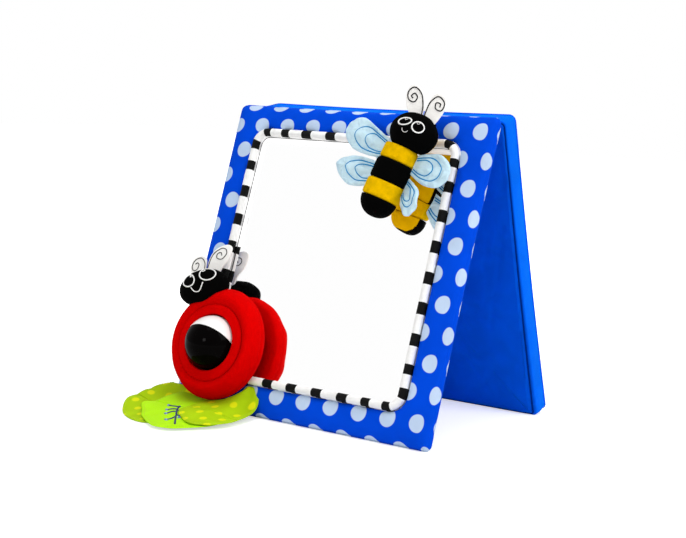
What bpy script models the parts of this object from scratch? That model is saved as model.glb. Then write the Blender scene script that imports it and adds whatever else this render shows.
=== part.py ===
"""Soft floor mirror for a baby: two padded fabric panels hinged along their top edges stand
as an A-frame. The front panel frames a flexible mirror with striped piping. A stuffed bee with
four wings hangs at the top right, and a plush ladybug with a spinning ball sits at the lower
left over three fabric leaves. Lengths are in metres, +Z is up and the front faces -Y."""
import math

import bmesh
import bpy
from mathutils import Matrix, Vector

# Fits and fabric
GAP = 0.0003                    # between two pieces that touch
CLOTH = 0.0010                  # fabric with its backing
EDGE_ROUND = 0.0040             # rolled rear edges of both panels
FOOT_FLAT = 0.0005              # how far the padding is pressed flat on the floor

# Front panel
PANEL_WIDTH = 0.2800
PANEL_HEIGHT = 0.2890
FRONT_THICK = 0.0150
FRONT_LEAN = math.radians(18.46)
PANEL_CORNER = 0.0070
SIDE_DRAW = 0.0012              # how far the sides pull in between the corners
SHOULDER_DEPTH = 0.0055         # where the front border starts to roll over the side
BORDER_CROWN = 0.0053

# Mirror and its piping
MIRROR_DEPTH = 0.0035           # from the front plane back to the mirror's face
MIRROR_THICK = 0.0010
BOARD_THICK = 0.0020
BORDER_SIDE = 0.0310            # from the piping's centre line out to the panel's side
BORDER_TOP = 0.0270
PIPING_LOW = 0.0300             # piping's lower centre line above the panel's bottom
PIPING_WIDTH = PANEL_WIDTH - 2 * BORDER_SIDE
PIPING_HEIGHT = PANEL_HEIGHT - PIPING_LOW - BORDER_TOP
PIPING_RADIUS = 0.00375
PIPING_CORNER = 0.0120
MIRROR_MARGIN = 0.0030          # mirror hidden under the fabric

# Back panel and fold
BACK_LEAN = math.radians(18.50)
BACK_SHOULDER = 0.0190
BACK_CROWN = 0.0085
FOLD_STANDOFF = 0.0005          # inner faces from the fold plane
FOLD_SEAM_INSET = 0.0140
DOME_SHARES = (0, 0.006, 0.03, 0.08, 0.18, 0.36, 0.6, 0.85)     # rings from its edge to its middle

# Bee, measured along its body from the seam of the tail
BEE_FROM_RIGHT = 0.0819         # from the panel's right side
BEE_FROM_TOP = 0.0868
BEE_STANDOFF = 0.0235           # forward of the panel's front plane
BEE_PLACE = (PANEL_WIDTH / 2 - BEE_FROM_RIGHT, -BEE_STANDOFF, PANEL_HEIGHT - BEE_FROM_TOP)
BEE_TILT = math.radians(13.8)
BEE_TAIL_LENGTH = 0.0160
BEE_REAR_BAND = 0.0157
BEE_MIDDLE_BAND = 0.0191
BEE_FRONT_BAND = 0.0139
BEE_TAIL_RADIUS = 0.0168
BEE_WAIST_RADIUS = 0.0166
BEE_CHEST_RADIUS = 0.0160
BEE_NECK_RADIUS = 0.0150
BEE_HEAD_RADII = (0.0226, 0.0185, 0.0182)
BEE_HEAD_SHIFT = 0.0045
BEE_HEAD_RISE = 0.0142
BEE_SEAM_PINCH = 0.0006
BEE_FELT = 0.0016
BEE_ANTENNA_REACH = 0.0410      # from the head's centre to the tip
BEE_ANTENNA_BACK = 0.0025       # behind the head's centre

# Wings
WING_THICK = 0.0022
WING_GAP = 0.0003
WING_REACH = 0.0520             # longest wing, from its root to its tip
WING_BACK = 0.0040              # behind the body's axis
DROOP = math.radians(24.0)      # how far the lower right wing hangs forward

# Bee's ribbon
RIBBON_WIDTH = 0.0140
RIBBON_THICK = 0.0012
RIBBON_GAP = 0.0012
RIBBON_HEIGHT_ON_BORDER = 0.0115    # below the panel's top

# Ladybug ring, measured forward from its outer seam
RING_FROM_LEFT = 0.0539         # from the panel's left side
RING_STANDOFF = 0.0140          # forward of the panel's front plane
RING_HEIGHT = 0.0551
RING_PLACE = (RING_FROM_LEFT - PANEL_WIDTH / 2, -RING_STANDOFF, RING_HEIGHT)
RING_RADIUS = 0.0484
RING_TALL = 0.0512              # half its height
RING_RISE = 0.0012              # its middle above the ball's centre
RING_FRONT = 0.0145
RING_BACK = 0.0092
COLLAR_BORE = 0.0260
COLLAR_WALL = 0.0011
COLLAR_FLANGE = 0.0352
COLLAR_FLANGE_THICK = 0.0026
REAR_LIP_BORE = 0.0205
REAR_LIP_THICK = 0.0020
BALL_RADIUS = 0.0250
BALL_WALL = 0.0020
BALL_FORWARD = 0.0086
BALL_TURN = math.radians(58.4)
AXLE_RADIUS = 0.0015
BUG_HEAD_PLACE = (-0.0256, 0.0489, 0.0070)  # across, up and forward from the ring's centre
BUG_HEAD_RADII = (0.0260, 0.0175, 0.0160)
BUG_HEAD_TURN = math.radians(18.0)
BUG_ANTENNA_BACK = 0.0040
BUG_ANTENNA_REACH = 0.0450      # from the head's centre to the longer tip
PATCH_SIZE = (0.0240, 0.0100)
PATCH_SHIFT = 0.0089            # left of the ring's middle
PATCH_HEIGHT = 0.0170
PATCH_PLACE = (RING_PLACE[0] - PATCH_SHIFT, PATCH_HEIGHT)

# Leaves
LEAF_THICK = 0.0018
LEAF_STEP = 0.0022              # from one leaf to the next in the pile
LEAF_LINE = 0.0330              # fold line of the leaves, forward of the panel's front edge
LEAF_ROOT_GAP = 0.0016
LEAF_SEAM_RADIUS = 0.0012
LEAF_BASE_THICK = 0.0020
LEAF_OVERHANG = 0.0100          # past the panel's left side
LEAF_SPAN = 0.1200
LEAF_BASE_LEFT = -PANEL_WIDTH / 2 - LEAF_OVERHANG
LEAF_BASE_RIGHT = LEAF_BASE_LEFT + LEAF_SPAN
LEAF_BASE_LOW = 0.0090          # height of its sewn edge under the ring
LEAF_BASE_HIGH = 0.0195         # height of its sewn edge beside the ring

OVERRUN = 0.0100                # how far a cutter passes its piece

parts = None
cutters = None


def start_scene():
    """Empty the scene and make one collection for the pieces and one for the cutters."""
    global parts, cutters
    for obj in list(bpy.data.objects):
        bpy.data.objects.remove(obj, do_unlink=True)
    parts = bpy.data.collections.new("soft_floor_mirror")
    cutters = bpy.data.collections.new("cutters")
    bpy.context.scene.collection.children.link(parts)
    bpy.context.scene.collection.children.link(cutters)


def make_material(name, colour, roughness):
    material = bpy.data.materials.new(name)
    material.use_nodes = True
    shader = material.node_tree.nodes["Principled BSDF"]
    shader.inputs["Base Color"].default_value = (*colour, 1.0)
    shader.inputs["Roughness"].default_value = roughness
    shader.inputs["Metallic"].default_value = 0.0
    return material


def add_empty(name, parent=None, place=(0, 0, 0), turn=None):
    """An axis or frame that pieces are placed from."""
    empty = bpy.data.objects.new(name, None)
    parts.objects.link(empty)
    empty.parent = parent
    empty.matrix_local = Matrix.Translation(place) @ (turn or Matrix.Identity(4))
    bpy.context.view_layer.update()
    return empty


def add_object(name, data, parent, material=None, place=(0, 0, 0), turn=None, home=None):
    obj = bpy.data.objects.new(name, data)
    (home or parts).objects.link(obj)
    obj.parent = parent
    obj.matrix_local = Matrix.Translation(place) @ (turn or Matrix.Identity(4))
    if material:
        data.materials.append(material)
    if home == cutters:
        obj.hide_render = True
        obj.display_type = "WIRE"
    bpy.context.view_layer.update()
    return obj


def finish_mesh(name, bm, smooth=True):
    mesh = bpy.data.meshes.new(name)
    bm.to_mesh(mesh)
    bm.free()
    if smooth:
        mesh.shade_smooth()
        mesh.set_sharp_from_angle(angle=math.radians(40))
    return mesh


def loft(name, rings, cap_first=False, cap_last=False, smooth=True):
    """Join rings of equally many points with quads, and close either end with one face.
    A last ring that is the first one again closes the surface on itself."""
    bm = bmesh.new()
    rows = []
    for ring in rings:
        joined = rows and ring is rings[0]
        rows.append(rows[0] if joined else [bm.verts.new(point) for point in ring])
    count = len(rings[0])
    for row, following in zip(rows, rows[1:]):
        for i in range(count):
            j = (i + 1) % count
            bm.faces.new((row[i], row[j], following[j], following[i]))
    if cap_first:
        bm.faces.new(list(reversed(rows[0])))
    if cap_last:
        bm.faces.new(rows[-1])
    if (cap_first and cap_last) or rings[-1] is rings[0]:
        bmesh.ops.recalc_face_normals(bm, faces=bm.faces)
    return finish_mesh(name, bm, smooth)


def turned(name, profile, parent, material=None, steps=36, closed=False, **placing):
    """Turn a profile of (radius, height) points about the local Z axis with a Screw modifier."""
    mesh = bpy.data.meshes.new(name)
    points = [(radius, 0, height) for radius, height in profile]
    edges = [(i, i + 1) for i in range(len(points) - 1)]
    if closed:
        edges.append((len(points) - 1, 0))
    mesh.from_pydata(points, edges, [])
    obj = add_object(name, mesh, parent, material, **placing)
    screw = obj.modifiers.new("turn", "SCREW")
    screw.axis = "Z"
    screw.steps = steps
    screw.render_steps = steps
    screw.use_merge_vertices = True
    screw.merge_threshold = 0.00001
    screw.use_smooth_shade = True
    return obj


def plate(name, outline, thickness, parent, material=None, **placing):
    """A flat piece in its local XY plane, from a smooth closed outline through a few points."""
    curve = bpy.data.curves.new(name, "CURVE")
    curve.dimensions = "2D"
    curve.fill_mode = "BOTH"
    curve.extrude = thickness / 2
    curve.resolution_u = 4
    spline = curve.splines.new("BEZIER")
    spline.bezier_points.add(len(outline) - 1)
    spline.use_cyclic_u = True
    for point, (x, y) in zip(spline.bezier_points, outline):
        point.co = (x, y, 0)
        point.handle_left_type = "AUTO"
        point.handle_right_type = "AUTO"
    return add_object(name, curve, parent, material, **placing)


def as_mesh(obj):
    """Replace a curve object by a welded mesh object of the same name and place."""
    name = obj.name
    home = obj.users_collection[0]
    parent = obj.parent
    place = obj.matrix_world.copy()
    material = obj.data.materials[0] if obj.data.materials else None
    evaluated = obj.evaluated_get(bpy.context.evaluated_depsgraph_get())
    mesh = bpy.data.meshes.new_from_object(evaluated)
    bpy.data.objects.remove(obj, do_unlink=True)
    bm = bmesh.new()
    bm.from_mesh(mesh)
    bmesh.ops.remove_doubles(bm, verts=bm.verts, dist=0.00001)
    bmesh.ops.recalc_face_normals(bm, faces=bm.faces)
    bm.to_mesh(mesh)
    bm.free()
    mesh.name = name
    mesh.materials.clear()
    solid = add_object(name, mesh, parent, material, home=home)
    solid.matrix_world = place
    bpy.context.view_layer.update()
    return solid


def tube(name, points, radius, parent, material, cyclic=False, sides=3, home=None):
    """A round cord along a line of points."""
    curve = bpy.data.curves.new(name, "CURVE")
    curve.dimensions = "3D"
    curve.bevel_depth = radius
    curve.bevel_resolution = sides
    curve.use_fill_caps = not cyclic
    spline = curve.splines.new("POLY")
    spline.points.add(len(points) - 1)
    spline.use_cyclic_u = cyclic
    for point, place in zip(spline.points, points):
        point.co = (*place, 1.0)
    return add_object(name, curve, parent, material, home=home)


def ellipsoid(name, radii, parent, material=None, **placing):
    bm = bmesh.new()
    bmesh.ops.create_uvsphere(bm, u_segments=24, v_segments=12, radius=1.0)
    bmesh.ops.scale(bm, vec=radii, verts=bm.verts)
    return add_object(name, finish_mesh(name, bm), parent, material, **placing)


def cut(obj, cutter):
    boolean = obj.modifiers.new("cut_by_" + cutter.name, "BOOLEAN")
    boolean.operation = "DIFFERENCE"
    boolean.solver = "EXACT"
    boolean.object = cutter


def block(name, size, parent, **placing):
    bm = bmesh.new()
    bmesh.ops.create_cube(bm, size=1.0)
    bmesh.ops.scale(bm, vec=size, verts=bm.verts)
    return add_object(name, finish_mesh(name, bm, smooth=False), parent, **placing)


def mix(low, high, share):
    return low + (high - low) * share


def smooth_step(share):
    share = min(1.0, max(0.0, share))
    return share * share * (3 - 2 * share)


def rounded_frame(half_width, low, high, radius, draw):
    """Points of an upright rounded rectangle whose top and sides pull in between the corners."""
    corner_steps = 4
    side_steps = 5                  # odd, so that a flat strip lies across the middle
    inner = half_width - radius
    corners = ((inner, low + radius, -90), (inner, high - radius, 0),
               (-inner, high - radius, 90), (-inner, low + radius, 180))
    points = []
    for index, (x, z, start) in enumerate(corners):
        for step in range(corner_steps + 1):
            angle = math.radians(start + 90 * step / corner_steps)
            points.append((x + radius * math.cos(angle), z + radius * math.sin(angle)))
        next_x, next_z, next_start = corners[(index + 1) % 4]
        angle = math.radians(start + 90)
        direction = Vector((math.cos(angle), math.sin(angle)))
        first = Vector((x, z)) + direction * radius
        last = Vector((next_x, next_z)) + direction * radius
        bottom = index == 3
        for step in range(1, side_steps):
            share = step / side_steps
            pulled = direction * (0 if bottom else draw) * math.sin(math.pi * share)
            points.append(tuple(first.lerp(last, share) - pulled))
    return points


class Panel:
    """Outer shape of a padded panel in its own frame: X across, Y through it and Z up it."""

    def __init__(self, frame, low, high):
        self.frame = frame
        self.outer = (PANEL_WIDTH / 2, low, high, PANEL_CORNER)

    def ring(self, inset, depth, lift=0.0, toward=None, share=0.0):
        """One loop round the panel, pressed flat where it would pass through the floor."""
        half, low, high, radius = self.outer
        half, low, high = half - inset, low + inset, high - inset
        if toward:
            half, low = mix(half, toward[0], share), mix(low, toward[1], share)
            high, radius = mix(high, toward[2], share), mix(radius, toward[3], share)
        draw = SIDE_DRAW * (1 - share)
        points = []
        for x, z in rounded_frame(half, low, high, radius, draw):
            points.append(self.stand(Vector((x, depth, z)), lift))
        return points

    def stand(self, point, lift):
        world = self.frame.matrix_world @ point
        if world.z < lift:
            world.z = lift
            return self.frame.matrix_world.inverted() @ world
        return point


def border_bulge(share):
    """Height of the padded border above its edges, from its outer edge to its inner edge."""
    return (1 - abs(2 * share - 1) ** 2.4) ** (1 / 2.4)


def dome_bulge(share):
    """Height of a padded face above its edge, from its edge to its middle."""
    return (1 - (1 - share) ** 2.6) ** (1 / 2.6)


def window_frame(grow):
    """Half width, low, high and corner radius of the mirror's window grown by a length."""
    return (PIPING_WIDTH / 2 + grow, PIPING_LOW - grow,
            PIPING_LOW + PIPING_HEIGHT + grow, PIPING_CORNER + grow)


def border_depth(share, crown):
    base = mix(SHOULDER_DEPTH, MIRROR_DEPTH - GAP - CLOTH * 0.35, share)
    return base - crown * border_bulge(share)


def foot_offset():
    """Where the front panel's own frame sits, so that its pressed foot is at the origin."""
    arm = FRONT_THICK - EDGE_ROUND
    foot_y = EDGE_ROUND * math.sin(FRONT_LEAN) + arm * math.cos(FRONT_LEAN)
    foot_z = EDGE_ROUND * math.cos(FRONT_LEAN) - arm * math.sin(FRONT_LEAN) - EDGE_ROUND
    return Vector((0, -foot_y, -foot_z - FOOT_FLAT))


def back_height(fold_height):
    """Length of the back panel that brings its rolled lower edge to the floor."""
    reach = fold_height + (FOLD_STANDOFF + EDGE_ROUND) * math.sin(BACK_LEAN) - EDGE_ROUND + FOOT_FLAT
    return EDGE_ROUND + reach / math.cos(BACK_LEAN)


def rolled_edge(panel, face, direction, inset=0.0, lift=0.0):
    """Rings of a rolled edge, from a flat face round to the side."""
    rings = []
    radius = EDGE_ROUND - inset
    for step in range(4):
        angle = math.radians(90 * step / 3)
        depth = face + direction * radius * (1 - math.cos(angle))
        rings.append(panel.ring(inset + radius * (1 - math.sin(angle)), depth, lift))
    return rings


def shell(name, rings, parent, material, cap_last=False):
    """A fabric skin: an open surface thickened inward."""
    obj = add_object(name, loft(name, rings, cap_last=cap_last), parent, material)
    wall = obj.modifiers.new("cloth", "SOLIDIFY")
    wall.thickness = CLOTH
    wall.offset = -1.0
    wall.use_even_offset = True
    wall.use_quality_normals = True
    return obj


def slab(name, panel, inset, face, back, parent, material):
    """A flat sheet or board with the panel's outline, inset from its sides."""
    rings = [panel.ring(inset, face), panel.ring(inset, back)]
    return add_object(name, loft(name, rings, True, True, smooth=False), parent, material)


def window_slab(name, grow, face, back, parent, material):
    """A flat sheet or board with the outline of the mirror's window."""
    rings = []
    for depth in (face, back):
        half, low, high, radius = window_frame(grow)
        rings.append([Vector((x, depth, z)) for x, z in rounded_frame(half, low, high, radius, 0)])
    return add_object(name, loft(name, rings, True, True, smooth=False), parent, material)


def build_front_panel(frame, looks):
    """Padded frame with the mirror sunk in its middle."""
    panel = Panel(frame, 0.0, PANEL_HEIGHT)
    window = window_frame(PIPING_RADIUS + GAP)
    wall_low = FRONT_THICK - EDGE_ROUND
    rings = rolled_edge(panel, FRONT_THICK, -1)
    rings.append(panel.ring(0, wall_low - EDGE_ROUND / 3))
    border_steps = 10
    for step in range(border_steps + 1):
        share = (1 - math.cos(math.pi * step / border_steps)) / 2
        depth = border_depth(share, BORDER_CROWN)
        rings.append(panel.ring(0, depth, toward=window, share=share))
    shell("front_cover", rings, frame, looks["dotted_fabric"])

    skin = CLOTH + GAP
    back_face = FRONT_THICK - CLOTH - GAP
    pocket_floor = MIRROR_DEPTH + MIRROR_THICK + GAP + BOARD_THICK + GAP
    edge = PIPING_RADIUS + GAP + MIRROR_MARGIN
    pocket = window_frame(edge + GAP)
    rings = rolled_edge(panel, FRONT_THICK - skin, -1, inset=skin, lift=skin)
    pad_steps = 7
    for step in range(pad_steps + 1):
        share = (1 - math.cos(math.pi * step / pad_steps)) / 2
        depth = border_depth(share, BORDER_CROWN - skin - GAP)
        rings.append(panel.ring(skin, depth, lift=skin, toward=pocket, share=share))
    rings.append(panel.ring(0, pocket_floor, toward=pocket, share=1.0))
    pad = loft("front_pad", rings, True, True)
    add_object("front_pad", pad, frame, looks["foam"])

    board_face = MIRROR_DEPTH + MIRROR_THICK + GAP
    window_slab("mirror_board", edge, board_face, board_face + BOARD_THICK, frame, looks["board"])
    window_slab("mirror_sheet", edge, MIRROR_DEPTH, MIRROR_DEPTH + MIRROR_THICK, frame, looks["mirror"])
    slab("front_lining", panel, EDGE_ROUND + GAP, back_face + GAP, FRONT_THICK, frame, looks["plain_fabric"])

    half, low, high, radius = window_frame(0)
    depth = MIRROR_DEPTH - GAP - PIPING_RADIUS
    route = [Vector((x, depth, z)) for x, z in rounded_frame(half, low, high, radius, 0)]
    as_mesh(tube("mirror_piping", route, PIPING_RADIUS, frame, looks["piping"], cyclic=True))


def build_back_panel(frame, height, looks):
    """Thick boxed cushion that props the front panel up, with a board on its inner side."""
    panel = Panel(frame, -height, 0.0)
    centre = (PANEL_WIDTH * 0.02, -height / 2 - PANEL_WIDTH * 0.02,
              -height / 2 + PANEL_WIDTH * 0.02, PANEL_WIDTH * 0.01)
    face = FOLD_STANDOFF
    rings = rolled_edge(panel, face, 1)
    rings.append(panel.ring(0, face + EDGE_ROUND * 4 / 3))
    rings.append(panel.ring(0, mix(face + EDGE_ROUND, BACK_SHOULDER, 0.5)))
    for share in DOME_SHARES:
        depth = BACK_SHOULDER + BACK_CROWN * dome_bulge(share)
        rings.append(panel.ring(0, depth, toward=centre, share=share))
    shell("back_cover", [list(reversed(ring)) for ring in rings], frame, looks["plain_fabric"], cap_last=True)

    skin = CLOTH + GAP
    slab("back_lining", panel, EDGE_ROUND + GAP, face, face + CLOTH, frame, looks["plain_fabric"])
    board_face = face + skin
    slab("back_board", panel, EDGE_ROUND + CLOTH, board_face, board_face + BOARD_THICK, frame, looks["board"])
    pad_face = board_face + BOARD_THICK + GAP
    rings = [panel.ring(skin, pad_face, lift=skin)]
    for share in DOME_SHARES:
        depth = BACK_SHOULDER - skin + BACK_CROWN * dome_bulge(share)
        rings.append(panel.ring(skin, depth, lift=skin, toward=centre, share=share))
    pad = loft("back_pad", rings, True, True)
    add_object("back_pad", pad, frame, looks["foam"])


def build_fold_seam(fold, looks):
    """Rolled seam between the two covers, on the fold's axis."""
    reach = PANEL_WIDTH / 2 - FOLD_SEAM_INSET
    radius = math.hypot(EDGE_ROUND, EDGE_ROUND + FOLD_STANDOFF) - EDGE_ROUND - GAP
    as_mesh(tube("fold_seam", ((-reach, 0, 0), (reach, 0, 0)), radius, fold, looks["plain_fabric"]))


def scaled(shares, reach, side=1):
    """Outline in metres from one in shares of a length, mirrored for side -1."""
    return [(side * across * reach, along * reach) for across, along in shares]


# Outlines as shares: felt antennae across and up from the head's centre, wings out from and
# along the root.
BEE_LEFT_FELT_SHARES = (
    (-0.27, 0.22), (-0.37, 0.39), (-0.51, 0.52), (-0.615, 0.69), (-0.635, 0.84), (-0.57, 0.98),
    (-0.44, 1.0), (-0.31, 0.895), (-0.20, 0.70), (-0.085, 0.52), (-0.03, 0.24))
BEE_RIGHT_FELT_SHARES = (
    (0.02, 0.24), (0.0, 0.42), (-0.01, 0.615), (0.0, 0.79), (0.04, 0.92), (0.12, 0.99), (0.255, 0.985),
    (0.37, 0.91), (0.42, 0.80), (0.425, 0.65), (0.40, 0.505), (0.36, 0.37), (0.27, 0.22))
BUG_RIGHT_FELT_SHARES = (
    (-0.20, 0.20), (-0.255, 0.44), (-0.24, 0.68), (-0.155, 0.85), (-0.02, 0.95), (0.145, 1.0),
    (0.255, 0.955), (0.27, 0.845), (0.235, 0.675), (0.115, 0.47), (0.045, 0.20))
BUG_LEFT_FELT_SHARES = (
    (-0.44, 0.09), (-0.61, 0.245), (-0.69, 0.415), (-0.69, 0.56), (-0.575, 0.67), (-0.41, 0.695),
    (-0.31, 0.61), (-0.29, 0.43), (-0.28, 0.18))
UPPER_LEFT_WING_SHARES = (
    (0.0, 0.144), (0.09, 0.18), (0.45, 0.30), (0.72, 0.37), (0.91, 0.28), (0.985, 0.12), (0.935, -0.04),
    (0.76, -0.17), (0.59, -0.21), (0.32, -0.21), (0.09, -0.165), (0.0, -0.14))
LOWER_LEFT_WING_SHARES = (
    (0.0, 0.20), (0.325, 0.185), (0.57, 0.155), (0.76, 0.065), (0.85, -0.06), (0.82, -0.15),
    (0.69, -0.27), (0.44, -0.35), (0.18, -0.285), (0.0, -0.20))
UPPER_RIGHT_WING_SHARES = (
    (0.0, 0.135), (0.165, 0.23), (0.365, 0.31), (0.545, 0.28), (0.69, 0.15), (0.725, -0.02),
    (0.62, -0.18), (0.505, -0.245), (0.28, -0.24), (0.06, -0.155), (0.0, -0.125))
LOWER_RIGHT_WING_SHARES = (
    (0.0, 0.18), (0.31, 0.08), (0.48, -0.065), (0.54, -0.25), (0.46, -0.41), (0.33, -0.42),
    (0.135, -0.32), (0.0, -0.18))


def bee_radius(place):
    """Body radius at a place along the bee, from the tail's seam to the neck."""
    total = BEE_REAR_BAND + BEE_MIDDLE_BAND + BEE_FRONT_BAND
    stations = ((0.0, BEE_TAIL_RADIUS), (BEE_REAR_BAND, BEE_WAIST_RADIUS),
                (BEE_REAR_BAND + BEE_MIDDLE_BAND, BEE_CHEST_RADIUS), (total, BEE_NECK_RADIUS))
    for (low, low_radius), (high, high_radius) in zip(stations, stations[1:]):
        if place <= high:
            return mix(low_radius, high_radius, (place - low) / (high - low))
    return BEE_NECK_RADIUS


def band_profile(low, high):
    """Profile of one stuffed band, pinched in at its two seams."""
    profile = [(0, high)]
    steps = 4
    for step in range(steps + 1):
        share = step / steps
        place = mix(high, low, share)
        swell = BEE_SEAM_PINCH * math.sin(math.pi * share)
        profile.append((bee_radius(place) - BEE_SEAM_PINCH + swell, place))
    profile.append((0, low))
    return profile


def tail_profile():
    """Round end of the body below its first seam."""
    top = -GAP
    radius = BEE_TAIL_RADIUS - BEE_SEAM_PINCH
    profile = [(0, top)]
    steps = 6
    for step in range(steps):
        angle = math.radians(90 * step / steps)
        profile.append((radius * math.cos(angle) ** 0.9, top - BEE_TAIL_LENGTH * math.sin(angle)))
    profile.append((0, top - BEE_TAIL_LENGTH))
    return profile


def build_bee(front, looks):
    """Stuffed bee on a short ribbon: tail, three bands, head, felt antennae and four wings."""
    total = BEE_REAR_BAND + BEE_MIDDLE_BAND + BEE_FRONT_BAND
    tilt = Matrix.Rotation(BEE_TILT, 4, "Y")
    body = Matrix.Translation(BEE_PLACE) @ tilt
    head_place = Vector((BEE_HEAD_SHIFT, 0, total + BEE_HEAD_RISE))
    head_on_panel = body @ head_place
    ribbon_height = PANEL_HEIGHT - RIBBON_HEIGHT_ON_BORDER
    rise_share = (ribbon_height - head_on_panel.z) / BEE_HEAD_RADII[2]
    swell = BEE_HEAD_RADII[1] * math.sqrt(1 - rise_share ** 2)
    lift_place = Vector((head_on_panel.x, head_on_panel.y + swell, ribbon_height))
    lift_axis = add_empty("bee_lift_axis", front, lift_place)
    bee = add_empty("bee_frame", lift_axis, turn=Matrix.Translation(-lift_place) @ body)

    turned("bee_tail", tail_profile(), bee, looks["black_plush"], steps=24)
    bands = (("bee_rear_band", 0.0, BEE_REAR_BAND, "yellow_plush"),
             ("bee_middle_band", BEE_REAR_BAND, BEE_REAR_BAND + BEE_MIDDLE_BAND, "black_plush"),
             ("bee_front_band", BEE_REAR_BAND + BEE_MIDDLE_BAND, total, "yellow_plush"))
    for name, low, high, look in bands:
        turned(name, band_profile(low, high - GAP), bee, looks[look], steps=24)

    head = ellipsoid("bee_head", BEE_HEAD_RADII, bee, looks["black_plush"], place=head_place)
    depth = BEE_HEAD_RADII[2] + OVERRUN
    span = 4 * BEE_HEAD_RADII[0]
    neck_cut = block("bee_neck_cutter", (span, span, depth), bee, place=(0, 0, total - depth / 2), home=cutters)
    cut(head, neck_cut)

    seat = ellipsoid("bee_antenna_cutter", [radius + GAP for radius in BEE_HEAD_RADII], bee,
                     place=head_place, home=cutters)
    upright = Matrix.Rotation(math.radians(90), 4, "X")
    felt_place = head_place + Vector((0, BEE_ANTENNA_BACK, 0))
    for side, shares in (("left", BEE_LEFT_FELT_SHARES), ("right", BEE_RIGHT_FELT_SHARES)):
        felt = plate("bee_%s_antenna" % side, scaled(shares, BEE_ANTENNA_REACH), BEE_FELT, bee,
                     looks["white_felt"], place=felt_place, turn=upright)
        cut(as_mesh(felt), seat)
    build_wings(bee, looks)
    build_ribbon(front, lift_place, looks)
    return bee, lift_axis


def build_wings(bee, looks):
    """Four padded satin wings, each with its own hinge line at its root beside the body."""
    wings = (("upper_left", UPPER_LEFT_WING_SHARES, -1, 0.83, 0.0),
             ("upper_right", UPPER_RIGHT_WING_SHARES, 1, 0.73, 0.0),
             ("lower_left", LOWER_LEFT_WING_SHARES, -1, 0.385, 0.0),
             ("lower_right", LOWER_RIGHT_WING_SHARES, 1, 0.32, DROOP))
    for name, shares, side, along_share, droop in wings:
        along = WING_REACH * along_share
        lowest = along + WING_REACH * min(up for out, up in shares if out == 0)
        reach = math.sqrt(bee_radius(lowest) ** 2 - WING_BACK ** 2) + WING_GAP
        reach = reach + WING_THICK / 2 * math.sin(droop)
        axis = add_empty("bee_%s_wing_axis" % name, bee, (side * reach, WING_BACK, along))
        turn = Matrix.Rotation(-side * droop, 4, "Z") @ Matrix.Rotation(math.radians(90), 4, "X")
        wing = plate("bee_%s_wing" % name, scaled(shares, WING_REACH, side), WING_THICK, axis,
                     looks["wing_satin"], turn=turn)
        straight_root(wing)
        as_mesh(wing)


def straight_root(piece):
    """Make the edge between an outline's last point and its first one straight."""
    points = piece.data.splines[0].bezier_points
    for point in (points[0], points[-1]):
        point.handle_left_type = "VECTOR"
        point.handle_right_type = "VECTOR"
    bpy.context.view_layer.update()


def build_ribbon(front, lift_place, looks):
    """Ribbon that holds the bee's head to the top border."""
    share = RIBBON_HEIGHT_ON_BORDER / (PANEL_HEIGHT - PIPING_LOW - PIPING_HEIGHT - PIPING_RADIUS - GAP)
    border = border_depth(share, BORDER_CROWN) - GAP
    end = lift_place.y + RIBBON_GAP
    block("bee_ribbon", (RIBBON_WIDTH, border - end, RIBBON_THICK), front,
          material=looks["ribbon"], place=(lift_place.x, (border + end) / 2, lift_place.z))


def ring_profile(rim, grow=0.0):
    """Section of the plush ring: domed in front, pressed flat behind, with a hollow for the collar."""
    bore = COLLAR_BORE + COLLAR_WALL + GAP - grow
    groove = COLLAR_FLANGE + GAP - grow
    seat = RING_FRONT - COLLAR_FLANGE_THICK - GAP + grow
    front = RING_FRONT + grow
    back = -RING_BACK - grow
    swell = rim + grow - groove
    return [(bore, seat), (groove, seat), (groove + swell * 0.04, mix(seat, front, 0.55)),
            (groove + swell * 0.22, front), (groove + swell * 0.45, front * 0.93),
            (groove + swell * 0.72, front * 0.72), (groove + swell * 0.92, front * 0.36), (rim, 0),
            (groove + swell * 0.95, back * 0.45), (groove + swell * 0.78, back * 0.86),
            (groove + swell * 0.50, back), (bore, back)]


def plush_ring(name, parent, material=None, grow=0.0, home=None):
    """The ladybug's ring: a round bore in an outline that is a little taller than wide."""
    steps = 36
    loops = []
    for step in range(steps):
        angle = math.tau * step / steps
        across, up = math.cos(angle), math.sin(angle)
        a = (across / RING_RADIUS) ** 2 + (up / RING_TALL) ** 2
        b = -2 * up * RING_RISE / RING_TALL ** 2
        c = (RING_RISE / RING_TALL) ** 2 - 1
        rim = (-b + math.sqrt(b * b - 4 * a * c)) / (2 * a)
        loops.append([(radius * across, radius * up, height) for radius, height in ring_profile(rim, grow)])
    return add_object(name, loft(name, loops + loops[:1]), parent, material, home=home)


def front_collar_profile():
    """Ring in front of the ball with a short sleeve that carries the axle."""
    sleeve = COLLAR_BORE + COLLAR_WALL
    under = RING_FRONT - COLLAR_FLANGE_THICK
    lip = COLLAR_FLANGE_THICK
    return [(COLLAR_BORE, RING_FRONT - lip * 0.4), (COLLAR_BORE + lip * 0.5, RING_FRONT),
            (mix(sleeve, COLLAR_FLANGE, 0.6), RING_FRONT), (COLLAR_FLANGE, RING_FRONT - lip * 0.4),
            (COLLAR_FLANGE, under), (sleeve, under), (sleeve, GAP), (COLLAR_BORE, GAP)]


def rear_collar_profile():
    """Ring behind the ball, whose lip keeps the ball in."""
    sleeve = COLLAR_BORE + COLLAR_WALL
    back = -RING_BACK
    under = back + REAR_LIP_THICK
    return [(COLLAR_BORE, -GAP), (sleeve, -GAP), (sleeve, back), (REAR_LIP_BORE, back),
            (REAR_LIP_BORE, under), (COLLAR_BORE, under)]


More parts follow.
